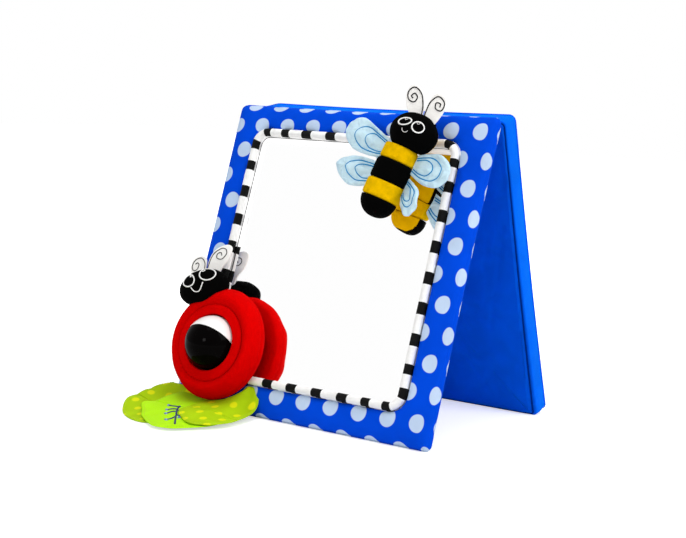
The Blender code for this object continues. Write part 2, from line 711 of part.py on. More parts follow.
def half_ball_profile():
    """Half of a hollow ball, open at its flat side."""
    steps = 7
    inner = BALL_RADIUS - BALL_WALL
    profile = []
    for step in range(steps + 1):
        angle = math.radians(90 * step / steps)
        height = max(BALL_RADIUS * math.cos(angle), GAP / 2)
        profile.append((BALL_RADIUS * math.sin(angle), height))
    for step in range(steps, -1, -1):
        angle = math.radians(90 * step / steps)
        height = max(inner * math.cos(angle), GAP / 2)
        profile.append((inner * math.sin(angle), height))
    return profile


def rod(name, radius, length, parent, material=None, sides=16, **placing):
    """A round bar along X."""
    bm = bmesh.new()
    bmesh.ops.create_cone(bm, cap_ends=True, segments=sides, radius1=radius, radius2=radius, depth=length)
    bmesh.ops.rotate(bm, verts=bm.verts, matrix=Matrix.Rotation(math.radians(90), 3, "Y"))
    return add_object(name, finish_mesh(name, bm), parent, material, **placing)


def build_ladybug(front, looks):
    """Plush ring round a ball that spins on an axle, with a stuffed head and felt antennae."""
    upright = Matrix.Rotation(math.radians(90), 4, "X")
    bug = add_empty("ladybug_frame", front, RING_PLACE, upright)
    plush_ring("ladybug_ring", bug, looks["red_plush"])
    front_collar = turned("ladybug_front_collar", front_collar_profile(), bug, looks["red_cloth"], closed=True)
    turned("ladybug_rear_collar", rear_collar_profile(), bug, looks["red_plastic"], closed=True)

    ball_axis = add_empty("ball_axis", bug, (0, 0, BALL_FORWARD))
    half_axle = COLLAR_BORE + COLLAR_WALL
    rod("ball_axle", AXLE_RADIUS, 2 * half_axle, ball_axis, looks["axle"])
    hole = rod("axle_cutter", AXLE_RADIUS + GAP, 2 * (half_axle + OVERRUN), ball_axis, home=cutters)
    cut(front_collar, hole)
    for name, look, angle in (("ball_black_half", "black_plastic", BALL_TURN),
                              ("ball_white_half", "white_plastic", BALL_TURN + math.pi)):
        half = turned(name, half_ball_profile(), ball_axis, looks[look], steps=28,
                      turn=Matrix.Rotation(angle, 4, "X"))
        cut(half, hole)

    tilt = Matrix.Rotation(BUG_HEAD_TURN, 4, "Z")
    head = ellipsoid("ladybug_head", BUG_HEAD_RADII, bug, looks["black_plush"], place=BUG_HEAD_PLACE, turn=tilt)
    ring_seat = plush_ring("ladybug_head_cutter", bug, grow=GAP, home=cutters)
    cut(head, ring_seat)
    head_seat = ellipsoid("ladybug_antenna_cutter", [radius + GAP for radius in BUG_HEAD_RADII], bug,
                          place=BUG_HEAD_PLACE, turn=tilt, home=cutters)
    felt_place = Vector(BUG_HEAD_PLACE)
    felt_place.z = -BUG_ANTENNA_BACK
    for side, shares in (("left", BUG_LEFT_FELT_SHARES), ("right", BUG_RIGHT_FELT_SHARES)):
        felt = plate("ladybug_%s_antenna" % side, scaled(shares, BUG_ANTENNA_REACH), BEE_FELT, bug,
                     looks["white_felt"], place=felt_place)
        cut(as_mesh(felt), head_seat)
    build_patch(front, looks)
    return ball_axis


def build_patch(front, looks):
    """Fabric patch that sews the ladybug's ring to the lower border."""
    across, up = PATCH_SIZE
    share = PATCH_PLACE[1] / (PIPING_LOW - PIPING_RADIUS - GAP)
    border = border_depth(share, BORDER_CROWN) - GAP
    ring_back = RING_PLACE[1] + RING_BACK + GAP
    block("ladybug_patch", (across, border - ring_back, up), front, material=looks["red_cloth"],
          place=(PATCH_PLACE[0], (border + ring_back) / 2, PATCH_PLACE[1]))


def sewn_height(x):
    """Height of the leaves' sewn edge: low under the ring and high on both sides of it."""
    ring_left = RING_PLACE[0] - RING_RADIUS * 0.62
    ring_right = RING_PLACE[0] + RING_RADIUS * 0.72
    spread = RING_RADIUS * 0.30
    left = smooth_step((ring_left - x) / spread)
    right = smooth_step((x - ring_right) / spread)
    return mix(LEAF_BASE_LOW, LEAF_BASE_HIGH, max(left, right))


def border_point(front, x, height):
    """Point of the lower border's surface at a height up the panel."""
    share = height / (PIPING_LOW - PIPING_RADIUS - GAP)
    return front.matrix_world @ Vector((x, border_depth(share, BORDER_CROWN), height))


def build_leaf_base(front, line_y, line_z, looks):
    """Gathered roots of the three leaves, from their fold line back to the border they are sewn to."""
    columns = 14
    rows = 6
    start_y = line_y + LEAF_SEAM_RADIUS + GAP
    bm = bmesh.new()
    grid = []
    for column in range(columns + 1):
        across = column / columns
        x = mix(LEAF_BASE_LEFT, LEAF_BASE_RIGHT, across)
        taper = mix(LEAF_BASE_LEFT, LEAF_BASE_RIGHT, mix(0.10, 0.905, across))
        sewn = border_point(front, taper, sewn_height(taper))
        sewn.y = sewn.y - LEAF_BASE_THICK * 0.5 - GAP
        line = []
        for row in range(rows + 1):
            share = row / rows
            height = mix(line_z, sewn.z, smooth_step(share))
            line.append(bm.verts.new((mix(x, taper, share), mix(start_y, sewn.y, share), height)))
        grid.append(line)
    for line, following in zip(grid, grid[1:]):
        for row in range(rows):
            bm.faces.new((line[row], following[row], following[row + 1], line[row + 1]))
    base = add_object("leaf_base", finish_mesh("leaf_base", bm), None, looks["lime_fabric"])
    cloth = base.modifiers.new("cloth", "SOLIDIFY")
    cloth.thickness = LEAF_BASE_THICK
    cloth.offset = 0.0
    cloth.use_even_offset = True
    reach = ((LEAF_BASE_LEFT, line_y, line_z), (LEAF_BASE_RIGHT, line_y, line_z))
    as_mesh(tube("leaf_seam", reach, LEAF_SEAM_RADIUS, None, looks["lime_fabric"]))


def build_leaves(front, looks):
    """Three overlapping leaves in front of the ladybug, hinged on one line, lowest first."""
    line_y = front.matrix_world.translation.y - LEAF_LINE
    line_z = LEAF_STEP + LEAF_THICK / 2
    build_leaf_base(front, line_y, line_z, looks)
    # Across and forward from the root edge, as shares of the base's width.
    leaves = (("leaf_left", "lime_fabric",
               ((0.0, 0.0), (0.006, 0.116), (0.0975, 0.2495), (0.2326, 0.351), (0.382, 0.408), (0.498, 0.386),
                (0.5885, 0.296), (0.584, 0.0))),
              ("leaf_middle", "green_fabric",
               ((0.190, 0.0), (0.151, 0.094), (0.258, 0.209), (0.356, 0.318), (0.553, 0.455), (0.651, 0.487),
                (0.7665, 0.456), (0.8315, 0.370), (0.8955, 0.283), (0.9275, 0.188), (0.933, 0.0))),
              ("leaf_right", "lime_fabric",
               ((0.532, 0.0), (0.5525, 0.133), (0.701, 0.2575), (0.824, 0.31), (0.904, 0.273),
                (0.959, 0.2175), (1.003, 0.083), (1.0, 0.0))))
    for level, (name, look, shares) in enumerate(leaves):
        axis = add_empty(name + "_axis", None, (0, line_y, line_z))
        height = LEAF_THICK / 2 + level * LEAF_STEP - line_z
        outline = []
        for across, forward in shares:
            place = (LEAF_BASE_LEFT + LEAF_SPAN * across, -LEAF_ROOT_GAP - LEAF_SPAN * forward)
            outline.append(place)
        leaf = plate(name, outline, LEAF_THICK, axis, looks[look], place=(0, 0, height))
        straight_root(leaf)
        as_mesh(leaf)


def make_looks():
    return {
        "dotted_fabric": make_material("dotted_fabric", (0.01, 0.07, 0.70), 0.75),
        "plain_fabric": make_material("plain_fabric", (0.0, 0.22, 0.85), 0.75),
        "foam": make_material("foam", (0.85, 0.83, 0.70), 0.95),
        "board": make_material("board", (0.75, 0.74, 0.72), 0.60),
        "mirror": make_material("mirror", (0.92, 0.93, 0.94), 0.03),
        "piping": make_material("piping", (0.75, 0.75, 0.72), 0.70),
        "yellow_plush": make_material("yellow_plush", (0.90, 0.60, 0.0), 0.90),
        "black_plush": make_material("black_plush", (0.01, 0.01, 0.01), 0.90),
        "white_felt": make_material("white_felt", (0.88, 0.87, 0.83), 0.90),
        "wing_satin": make_material("wing_satin", (0.55, 0.74, 0.90), 0.45),
        "ribbon": make_material("ribbon", (0.02, 0.02, 0.02), 0.60),
        "red_plush": make_material("red_plush", (0.75, 0.0, 0.01), 0.85),
        "red_cloth": make_material("red_cloth", (0.70, 0.0, 0.01), 0.75),
        "red_plastic": make_material("red_plastic", (0.70, 0.0, 0.01), 0.45),
        "black_plastic": make_material("black_plastic", (0.01, 0.01, 0.01), 0.12),
        "white_plastic": make_material("white_plastic", (0.90, 0.90, 0.88), 0.12),
        "axle": make_material("axle", (0.80, 0.80, 0.80), 0.35),
        "lime_fabric": make_material("lime_fabric", (0.38, 0.60, 0.01), 0.70),
        "green_fabric": make_material("green_fabric", (0.27, 0.72, 0.0), 0.60),
    }


def main():
    start_scene()
    looks = make_looks()
    front = add_empty("front_panel_frame", place=foot_offset(), turn=Matrix.Rotation(-FRONT_LEAN, 4, "X"))
    fold_place = front.matrix_world @ Vector((0, FRONT_THICK + FOLD_STANDOFF, PANEL_HEIGHT))
    fold = add_empty("stand_fold_axis", place=fold_place, turn=Matrix.Rotation(BACK_LEAN, 4, "X"))
    build_front_panel(front, looks)
    build_back_panel(fold, back_height(fold_place.z), looks)
    build_fold_seam(fold, looks)
    build_bee(front, looks)
    build_ladybug(front, looks)
    build_leaves(front, looks)
    for obj in bpy.data.objects:
        if obj.type == "EMPTY":
            print("%s at %s" % (obj.name, [round(v, 5) for v in obj.matrix_world.translation]))
    bee = bpy.data.objects["bee_frame"].matrix_world.to_3x3()
    print("bee axis %s" % [round(v, 5) for v in bee @ Vector((0, 0, 1))])


main()
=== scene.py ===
# %% [markdown]
# # A soft floor mirror for a baby
#
# Two padded panels stand as a tent. The front one frames a mirror, a stuffed bee hangs at its top
# right, and a plush ladybug with a spinning ball sits at its lower left above three cloth leaves.
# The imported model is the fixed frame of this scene: it gives every size, joint and place, and the
# cells below dress it in real cloth, stuffing and stitches without moving anything.

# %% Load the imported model
import math

import bmesh
import bpy
import numpy as np
from mathutils import Matrix, Vector, noise
from mathutils.bvhtree import BVHTree


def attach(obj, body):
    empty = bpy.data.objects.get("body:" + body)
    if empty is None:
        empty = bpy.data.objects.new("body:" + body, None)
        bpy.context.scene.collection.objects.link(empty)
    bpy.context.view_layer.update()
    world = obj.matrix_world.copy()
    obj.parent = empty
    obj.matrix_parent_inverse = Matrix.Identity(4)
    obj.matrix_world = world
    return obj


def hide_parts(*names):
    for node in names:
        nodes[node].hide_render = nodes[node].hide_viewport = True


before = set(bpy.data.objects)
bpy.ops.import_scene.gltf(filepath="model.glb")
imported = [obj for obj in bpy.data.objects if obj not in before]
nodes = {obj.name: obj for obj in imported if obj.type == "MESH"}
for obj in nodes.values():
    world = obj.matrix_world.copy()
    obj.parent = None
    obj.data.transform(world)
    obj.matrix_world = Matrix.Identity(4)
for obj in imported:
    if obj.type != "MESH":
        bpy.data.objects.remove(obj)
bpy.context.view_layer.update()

scene = bpy.context.scene

# %% [markdown]
# ## The camera
#
# The camera stands to the right of the mirror, a little above its middle, as the photographer's
# did. Its place and its three directions are written down as vectors, because a slightly rolled
# camera is easier to give as a matrix than as three angles.

# %% Camera
CAMERA_PLACE = Vector((0.7497, -1.01041, 0.29487))
CAMERA_RIGHT = Vector((0.81606, 0.57650, 0.04120))
CAMERA_UP = Vector((-0.10421, 0.07665, 0.99159))
CAMERA_FORWARD = Vector((-0.56850, 0.81349, -0.12263))
CAMERA_LENS = 76.243            # millimetres on a 36 mm wide sensor

camera_data = bpy.data.cameras.new("camera")
camera_data.lens = CAMERA_LENS
camera_data.sensor_width = 36.0
camera_data.clip_start = 0.01
camera = bpy.data.objects.new("camera", camera_data)
scene.collection.objects.link(camera)
turn = Matrix((CAMERA_RIGHT, CAMERA_UP, -CAMERA_FORWARD)).transposed().to_4x4()
camera.matrix_world = Matrix.Translation(CAMERA_PLACE) @ turn
scene.camera = camera
scene.view_settings.view_transform = "Standard"
print("camera at", [round(v, 3) for v in camera.location])

# %% [markdown]
# ## Node trees by script
#
# Materials and Geometry Nodes are both node trees. A few small helpers keep the cells readable: one
# adds a node, sets its options and links its inputs, and two do the same for a Math node and for a
# whole node group. One more starts a group with named inputs and outputs.

# %% Helpers for node trees


def fill_socket(tree, socket, value):
    """Link a socket to another one, or set its plain value. Every colour is opaque."""
    if isinstance(value, bpy.types.NodeSocket):
        tree.links.new(value, socket)
    else:
        socket.default_value = (*value, 1.0) if socket.type == "RGBA" else value


def add_node(tree, kind, inputs=(), **settings):
    """Add a node, set its options, and set or link its inputs."""
    made = tree.nodes.new(kind)
    for name, value in settings.items():
        setattr(made, name, value)
    for name, value in dict(inputs).items():
        fill_socket(tree, made.inputs[name], value)
    return made


def calc(tree, operation, *values):
    """Add a Math node and return its result."""
    return add_node(tree, "ShaderNodeMath", enumerate(values), operation=operation).outputs[0]


def use_group(tree, group, inputs):
    """Add a node group and return its outputs."""
    return add_node(tree, "ShaderNodeGroup", inputs, node_tree=group).outputs


def start_group(name, kind, inputs, outputs):
    """Start a node group with named sockets, and return it with its input and output nodes."""
    tree = bpy.data.node_groups.new(name, kind)
    for label, socket, value in inputs:
        made = tree.interface.new_socket(label, in_out="INPUT", socket_type="NodeSocket" + socket)
        if value is not None:
            made.default_value = value
    for label, socket in outputs:
        tree.interface.new_socket(label, in_out="OUTPUT", socket_type="NodeSocket" + socket)
    return tree, tree.nodes.new("NodeGroupInput").outputs, tree.nodes.new("NodeGroupOutput").inputs


# %% [markdown]
# ## Shader groups for cloth
#
# Woven cloth, velour and printed dots each appear in several materials, so each is a group with
# named inputs. They give out only masks, colours and heights. The Principled shader stays in each
# material, where its sheen and roughness are plain numbers.

# %% Shader group: woven threads


def make_weave():
    tree, given, result = start_group(
        "woven_threads", "ShaderNodeTree",
        [("Vector", "Vector", None), ("Thread Pitch", "Float", 0.0006)], [("Height", "Float")])
    turns = calc(tree, "DIVIDE", math.tau, given["Thread Pitch"])
    split = add_node(tree, "ShaderNodeSeparateXYZ", {"Vector": given["Vector"]})
    waves = [calc(tree, "SINE", calc(tree, "MULTIPLY", split.outputs[i], turns)) for i in range(3)]
    total = calc(tree, "MULTIPLY", waves[0], waves[1])
    total = calc(tree, "MULTIPLY_ADD", waves[1], waves[2], total)
    total = calc(tree, "MULTIPLY_ADD", waves[2], waves[0], total)
    tree.links.new(calc(tree, "MULTIPLY_ADD", total, 0.5, 0.5), result["Height"])
    return tree


weave_group = make_weave()

# %% Shader group: short pile with crushed patches


def make_pile():
    tree, given, result = start_group(
        "short_pile", "ShaderNodeTree",
        [("Vector", "Vector", None), ("Pile Size", "Float", 0.0006), ("Patch Size", "Float", 0.006)],
        [("Height", "Float"), ("Patches", "Float")])
    fine = add_node(tree, "ShaderNodeTexNoise", {
        "Vector": given["Vector"], "Scale": calc(tree, "DIVIDE", 1.0, given["Pile Size"]),
        "Detail": 2.0, "Roughness": 0.6})
    broad = add_node(tree, "ShaderNodeTexNoise", {
        "Vector": given["Vector"], "Scale": calc(tree, "DIVIDE", 1.0, given["Patch Size"]),
        "Detail": 3.0, "Roughness": 0.55})
    tree.links.new(fine.outputs["Fac"], result["Height"])
    tree.links.new(broad.outputs["Fac"], result["Patches"])
    return tree


pile_group = make_pile()

# %% Shader group: colour made lighter and darker by a mask, for uneven dye and for painted shade in creases


def make_dye_and_shade():
    tree, given, result = start_group(
        "uneven_dye_and_crease_shade", "ShaderNodeTree",
        [("Color", "Color", (0.5, 0.5, 0.5, 1.0)), ("Mask", "Float", 0.5), ("Amount", "Float", 0.15)],
        [("Color", "Color")])
    centred = calc(tree, "SUBTRACT", given["Mask"], 0.5)
    value = calc(tree, "MULTIPLY_ADD", calc(tree, "MULTIPLY", centred, given["Amount"]), 2.0, 1.0)
    shaded = add_node(tree, "ShaderNodeHueSaturation", {"Color": given["Color"], "Value": value})
    tree.links.new(shaded.outputs["Color"], result["Color"])
    return tree


dye_and_shade_group = make_dye_and_shade()

# %% Shader group: dots printed in staggered rows


def make_dots():
    tree, given, result = start_group(
        "printed_dots", "ShaderNodeTree",
        [("Vector", "Vector", None), ("Pitch", "Float", 0.0295), ("Row Pitch", "Float", 0.0254),
         ("Radius", "Float", 0.0083), ("Stretch", "Float", 1.0), ("First X", "Float", 0.0),
         ("First Y", "Float", 0.0), ("Soft Edge", "Float", 0.0003)], [("Mask", "Float")])
    split = add_node(tree, "ShaderNodeSeparateXYZ", {"Vector": given["Vector"]})
    up = calc(tree, "SUBTRACT", split.outputs["Y"], given["First Y"])
    across = calc(tree, "SUBTRACT", split.outputs["X"], given["First X"])
    rows = calc(tree, "DIVIDE", up, given["Row Pitch"])
    row = calc(tree, "ROUND", rows)
    off_row = calc(tree, "MULTIPLY", calc(tree, "SUBTRACT", rows, row), given["Row Pitch"])
    off_row = calc(tree, "DIVIDE", off_row, given["Stretch"])
    odd = calc(tree, "FLOORED_MODULO", row, 2.0)
    columns = calc(tree, "MULTIPLY_ADD", odd, 0.5, calc(tree, "DIVIDE", across, given["Pitch"]))
    column = calc(tree, "ROUND", columns)
    off_column = calc(tree, "MULTIPLY", calc(tree, "SUBTRACT", columns, column), given["Pitch"])
    squares = calc(tree, "MULTIPLY", off_row, off_row)
    distance = calc(tree, "SQRT", calc(tree, "MULTIPLY_ADD", off_column, off_column, squares))
    inside = add_node(tree, "ShaderNodeMapRange", {
        "Value": calc(tree, "SUBTRACT", given["Radius"], distance),
        "From Min": calc(tree, "MULTIPLY", given["Soft Edge"], -1.0), "From Max": given["Soft Edge"]})
    tree.links.new(inside.outputs["Result"], result["Mask"])
    return tree


dots_group = make_dots()
print("shader groups:", [g.name for g in bpy.data.node_groups])

# %% [markdown]
# ## The finishes
#
# Each finish is a material of its own. A cloth takes its threads and soft creases from bump, so
# that light catches them, and its sheen from the shader. Its colour is also a little lighter on the
# creases' tops and darker in their hollows, a painted shade. Numbers that are the same all over go
# straight on the shader's sockets.

# %% Helpers for materials
PILE_DEPTH, PATCH_DEPTH = 0.0003, 0.0005    # how far pile and its crushed patches bend the light


def start_material(name, **values):
    """A material with one Principled shader, whose plain values are set on its own sockets."""
    material = bpy.data.materials.new(name)
    material.use_nodes = True
    tree = material.node_tree
    shader = tree.nodes["Principled BSDF"]
    for label, value in values.items():
        fill_socket(tree, shader.inputs[label.replace("_", " ")], value)
    return material, tree, shader


def bump(tree, height, distance, normal=None):
    """Bend the light by a height, on top of a normal where one is given."""
    inputs = {"Height": height, "Distance": distance, "Strength": 1.0}
    if normal:
        inputs["Normal"] = normal
    return add_node(tree, "ShaderNodeBump", inputs).outputs["Normal"]


def mix_colours(tree, mask, first, second):
    """The first colour where the mask is 0, the second where it is 1."""
    inputs = {0: mask, 6: first, 7: second}     # the factor and the two colours of a Mix node
    return add_node(tree, "ShaderNodeMix", inputs, data_type="RGBA").outputs[2]


def object_places(tree):
    """Places in the piece's own space, in metres."""
    return add_node(tree, "ShaderNodeTexCoord").outputs["Object"]


def face_mark(tree, name):
    """The mark, 0 or 1, that the piece's faces carry under a name."""
    return add_node(tree, "ShaderNodeAttribute", attribute_name=name).outputs["Fac"]


def ranged(tree, value, low, high, **ends):
    """Map a value from 0..1, or from the ends that are given, to low..high."""
    inputs = {"Value": value, "To Min": low, "To Max": high}
    inputs.update({label.replace("_", " "): end for label, end in ends.items()})
    return add_node(tree, "ShaderNodeMapRange", inputs).outputs["Result"]


def creased(tree, places, size, depth, normal):
    """Soft creases: broad noise that bends the light a little."""
    broad = add_node(tree, "ShaderNodeTexNoise", {
        "Vector": places, "Scale": 1.0 / size, "Detail": 2.0, "Roughness": 0.5, "Distortion": 0.6})
    return bump(tree, broad.outputs["Fac"], depth, normal), broad.outputs["Fac"]


def dye_and_shade(tree, shader, colour, mask, uneven, normal):
    """Give a cloth its colour, varied by a mask, and its normal. With a crease mask the variation is
    painted shade.
    """
    dyed_and_shaded = use_group(tree, dye_and_shade_group, {"Color": colour, "Mask": mask, "Amount": uneven})
    tree.links.new(dyed_and_shaded["Color"], shader.inputs["Base Color"])
    tree.links.new(normal, shader.inputs["Normal"])


def woven(name, colour, pitch=0.0007, thread_depth=0.0001, crease_size=0.03, crease_depth=0.0012,
          uneven=0.10, places_of=object_places, **values):
    """Woven cloth. Its colour is plain, or a function gives it from the tree and its places."""
    material, tree, shader = start_material(name, **values)
    places = places_of(tree)
    threads = use_group(tree, weave_group, {"Vector": places, "Thread Pitch": pitch})["Height"]
    normal, broad = creased(tree, object_places(tree), crease_size, crease_depth,
                            bump(tree, threads, thread_depth))
    # The crease noise also sets the colour, lighter on crease tops and darker in their hollows: painted
    # shade.
    dye_and_shade(tree, shader, colour(tree, places) if callable(colour) else colour, broad, uneven, normal)
    return material


def thread(name, colour, roughness, pitch=0.0005, **values):
    """Sewing thread: woven so finely that it has no creases."""
    return woven(name, colour, pitch=pitch, crease_depth=0.0, Roughness=roughness, **values)


def plush(name, colour, pile=0.0007, uneven=0.12, back=None, **values):
    """Velour: short pile, pressed lighter and darker in patches. back is a second cloth behind."""
    material, tree, shader = start_material(name, **values)
    cloth = use_group(tree, pile_group, {"Vector": object_places(tree), "Pile Size": pile})
    normal = bump(tree, cloth["Patches"], PATCH_DEPTH, bump(tree, cloth["Height"], PILE_DEPTH))
    ground = mix_colours(tree, face_mark(tree, "behind"), colour, back) if back else colour
    dye_and_shade(tree, shader, ground, cloth["Patches"], uneven, normal)
    return material


def dotted(name, ground, dot, dots, uneven=0.12, **values):
    """Woven cotton with dots printed on it."""
    def printed(tree, places):
        mask = use_group(tree, dots_group, {"Vector": places, **dots})["Mask"]
        return mix_colours(tree, mask, ground, dot)
    return woven(name, printed, pitch=0.0006, crease_size=0.025, crease_depth=0.0010, uneven=uneven,
                 **values)


# %% [markdown]
# ### Cloth of the panels
#
# The front border is printed cotton: pale dots on a strong blue, in staggered rows. Its dots
# follow the cloth over the edge, so this one reads the piece's own UV map, which the front cover's
# cell lays out in metres. The back panel and the linings are the same blue without dots.

# %% Panel cloth
BLUE = (0.0, 0.064, 0.69)
PALE_DOT = (0.53, 0.66, 0.86)


def cloth_uv(tree):
    """Places on the flat cloth, in metres."""
    return add_node(tree, "ShaderNodeUVMap", uv_map="cloth").outputs["UV"]


dotted_blue = dotted(
    "dotted_blue_cotton", BLUE, PALE_DOT,
    {"Pitch": 0.0295, "Row Pitch": 0.02543, "Radius": 0.0077, "First X": 0.1293, "First Y": 0.0204},
    places_of=cloth_uv, Roughness=0.7, Sheen_Weight=0.10, Sheen_Tint=(0.0, 0.25, 1.0),
    Specular_IOR_Level=0.02)
# A high uneven: its colour runs lighter and darker with its broad creases, painted fold shade and sheen
# streaks.
plain_blue = woven("plain_blue_cloth", (0.0, 0.125, 0.93), crease_size=0.034, crease_depth=0.0032,
                   uneven=0.24, Roughness=0.65, Sheen_Weight=0.35, Sheen_Tint=(0.0, 0.55, 1.0),
                   Specular_IOR_Level=0.02)
# Dark navy thread for the inner cord of the back panel: painted shade for the dark gap line at that
# seam.
seam_shade_thread = thread("seam_shade_thread", (0.0, 0.03, 0.26), 0.9, pitch=0.0007, Specular_IOR_Level=0.0)
blue_thread = thread("blue_thread", (0.0, 0.03, 0.42), 0.6, pitch=0.0004)
print("panel cloth:", dotted_blue.name, plain_blue.name)

# %% [markdown]
# ### Piping, mirror film and hidden boards
#
# The piping is cut from black and white striped cloth. Its Geometry Nodes tree, further down, marks
# every face as dark or light, and the material reads that mark. The mirror is a silvered plastic
# film that never lies quite flat, so its reflections wave. Its silver stops a little short of the
# piping at the top and the upper left, where a white margin shows. That margin glows faintly: a
# painted light that keeps it white in the piping's shade.

# %% Piping, mirror and boards
MIRROR_SIDE, MIRROR_TOP = 0.1055, 0.2475   # the piping's inner edge, from the middle and the floor
MARGIN, MARGIN_LOW = 0.0050, 0.1450        # width of the film's white margin, and its lowest place
MARGIN_SOFT = 0.0006                       # how softly the silver ends there
WHITE_STRIPE, DARK_STRIPE = (0.96, 0.96, 0.95), (0.002, 0.002, 0.002)
WHITE, NO_LIGHT = (1.0, 1.0, 1.0), (0.0, 0.0, 0.0)


def stripes(tree, places):
    """The piping's two colours, picked by the marks on its faces."""
    return mix_colours(tree, face_mark(tree, "dark"), WHITE_STRIPE, DARK_STRIPE)


def make_mirror_film():
    """Silvered film with slow waves and faint smears, and a white margin without silver that glows
    faintly: painted light.
    """
    material, tree, shader = start_material(
        "mirror_film", Base_Color=(0.99, 0.99, 0.99), Emission_Strength=0.40)
    places = object_places(tree)
    waves = add_node(tree, "ShaderNodeTexNoise", {"Vector": places, "Scale": 26.0, "Detail": 1.0})
    smears = add_node(tree, "ShaderNodeTexNoise", {"Vector": places, "Scale": 60.0, "Detail": 5.0})
    split = add_node(tree, "ShaderNodeSeparateXYZ", {"Vector": places})
    side = calc(tree, "ADD", split.outputs["X"], MIRROR_SIDE)
    side = calc(tree, "ADD", side, calc(tree, "LESS_THAN", split.outputs["Z"], MARGIN_LOW))
    margin = calc(tree, "MINIMUM", side, calc(tree, "SUBTRACT", MIRROR_TOP, split.outputs["Z"]))
    silver = ranged(tree, margin, 0.0, 1.0,
                    From_Min=MARGIN - MARGIN_SOFT, From_Max=MARGIN + MARGIN_SOFT)
    linked = {"Normal": bump(tree, waves.outputs["Fac"], 0.0012), "Metallic": silver,
              "Roughness": ranged(tree, smears.outputs["Fac"], 0.012, 0.05),
              "Emission Color": mix_colours(tree, silver, WHITE, NO_LIGHT)}   # painted glow: the margin without silver gives off light, to stay white in shade
    for label, socket in linked.items():
        tree.links.new(socket, shader.inputs[label])
    return material


piping_cloth = woven("striped_piping", stripes, pitch=0.0006, thread_depth=0.00012, crease_size=0.006,
                     crease_depth=0.0006, Roughness=0.7, Specular_IOR_Level=0.1)
mirror_film = make_mirror_film()
grey_board = woven("grey_board", (0.62, 0.60, 0.56), pitch=0.002, crease_depth=0.0003, Roughness=0.8)
for name, finish in (("mirror_sheet", mirror_film), ("mirror_board", grey_board),
                     ("back_board", grey_board)):
    nodes[name].data.materials[0] = finish
print("piping and mirror:", piping_cloth.name, mirror_film.name)

# %% [markdown]
# ### Plush, felt, satin and leaves
#
# The insects are velour in red, black and yellow. Their antennae are two layers of white felt with
# a black embroidered line, the wings are pale blue satin, and the leaves are printed cotton.

# %% Finishes of the insects and leaves
BLACK = (0.0012, 0.0012, 0.0012)
YELLOW = (0.74, 0.43, 0.0)
ORANGE = (0.72, 0.38, 0.0)
RED_SHEEN = {"Sheen_Weight": 0.2, "Sheen_Tint": (1.0, 0.0, 0.0), "Specular_IOR_Level": 0.02}
red_plush = plush("red_plush", (0.61, 0.0, 0.0), Roughness=0.95, Sheen_Roughness=0.4, **RED_SHEEN)
black_plush = plush("black_plush", BLACK, uneven=0.4, Roughness=0.95, Specular_IOR_Level=0.015)
bee_black = plush("bee_black_plush", BLACK, back=ORANGE, uneven=0.15, Roughness=0.95,
                  Specular_IOR_Level=0.015)
yellow_plush = plush("yellow_plush", YELLOW, back=ORANGE, uneven=0.4, Roughness=0.95,
                     Sheen_Weight=0.10, Sheen_Tint=(1.0, 0.7, 0.0), Specular_IOR_Level=0.02)
white_felt = plush("white_felt", (0.96, 0.94, 0.91), pile=0.0012, uneven=0.06, Roughness=0.95,
                   Specular_IOR_Level=0.1)
red_knit = woven("red_knit", (0.62, 0.0, 0.0), pitch=0.0009, crease_size=0.012, crease_depth=0.0003,
                 Roughness=0.95, **RED_SHEEN)
# Its colour runs lighter and darker with its crinkles: painted crinkle highlights and shade.
wing_satin = woven("wing_satin", (0.66, 0.90, 1.0), pitch=0.0004, crease_size=0.009,
                   crease_depth=0.0040, uneven=0.16, Roughness=0.35, Sheen_Weight=0.8,
                   Sheen_Tint=(0.45, 0.70, 1.0), Specular_IOR_Level=0.5)
ribbon_cloth = woven("ribbon_cloth", (0.004, 0.004, 0.004), crease_depth=0.0002, Roughness=0.6,
                     Specular_IOR_Level=0.1)
white_thread = thread("white_thread", (0.92, 0.92, 0.90), 0.7)
black_thread = thread("black_thread", BLACK, 0.8, Specular_IOR_Level=0.1)
wing_thread = thread("wing_thread", (0.0, 0.27, 0.60), 0.6, Specular_IOR_Level=0.2)
lime_thread = thread("lime_thread", (0.40, 0.58, 0.02), 0.7)
vein_thread = thread("vein_thread", (0.01, 0.03, 0.12), 0.6)
bud_thread = thread("bud_thread", (0.20, 0.28, 0.66), 0.6)
leaf_dots = {"Pitch": 0.0255, "Row Pitch": 0.0102, "Radius": 0.0031, "Stretch": 1.2,
             "First X": -0.0640, "First Y": -0.0560, "Soft Edge": 0.0005}
lime_cloth = dotted("lime_dotted_cotton", (0.40, 0.62, 0.003), (0.72, 0.78, 0.005), leaf_dots,
                    uneven=0.2, Roughness=0.75, Specular_IOR_Level=0.08)
green_cloth = woven("bright_green_cotton", (0.45, 0.87, 0.002), crease_size=0.02, Roughness=0.65,
                    Specular_IOR_Level=0.1)
print("finishes:", len(bpy.data.materials))

# %% [markdown]
# ### Moulded plastic
#
# The ball is two moulded halves, polished, with the fine scratches that a rattle gets from being
# rolled about. The collar behind it and the axle are plain matt mouldings.

# %% Moulded plastic
SCRATCH_DEPTH = 0.00002


def moulded(name, colour, low, high, **values):
    """Plastic whose roughness runs from low to high where it is rubbed."""
    material, tree, shader = start_material(name, Base_Color=colour, **values)
    rubs = add_node(tree, "ShaderNodeTexNoise", {
        "Vector": object_places(tree), "Scale": 240.0, "Detail": 6.0}).outputs["Fac"]
    rough = ranged(tree, rubs, low, high, From_Min=0.35, From_Max=0.75)
    tree.links.new(rough, shader.inputs["Roughness"])
    tree.links.new(bump(tree, rubs, SCRATCH_DEPTH), shader.inputs["Normal"])
    return material


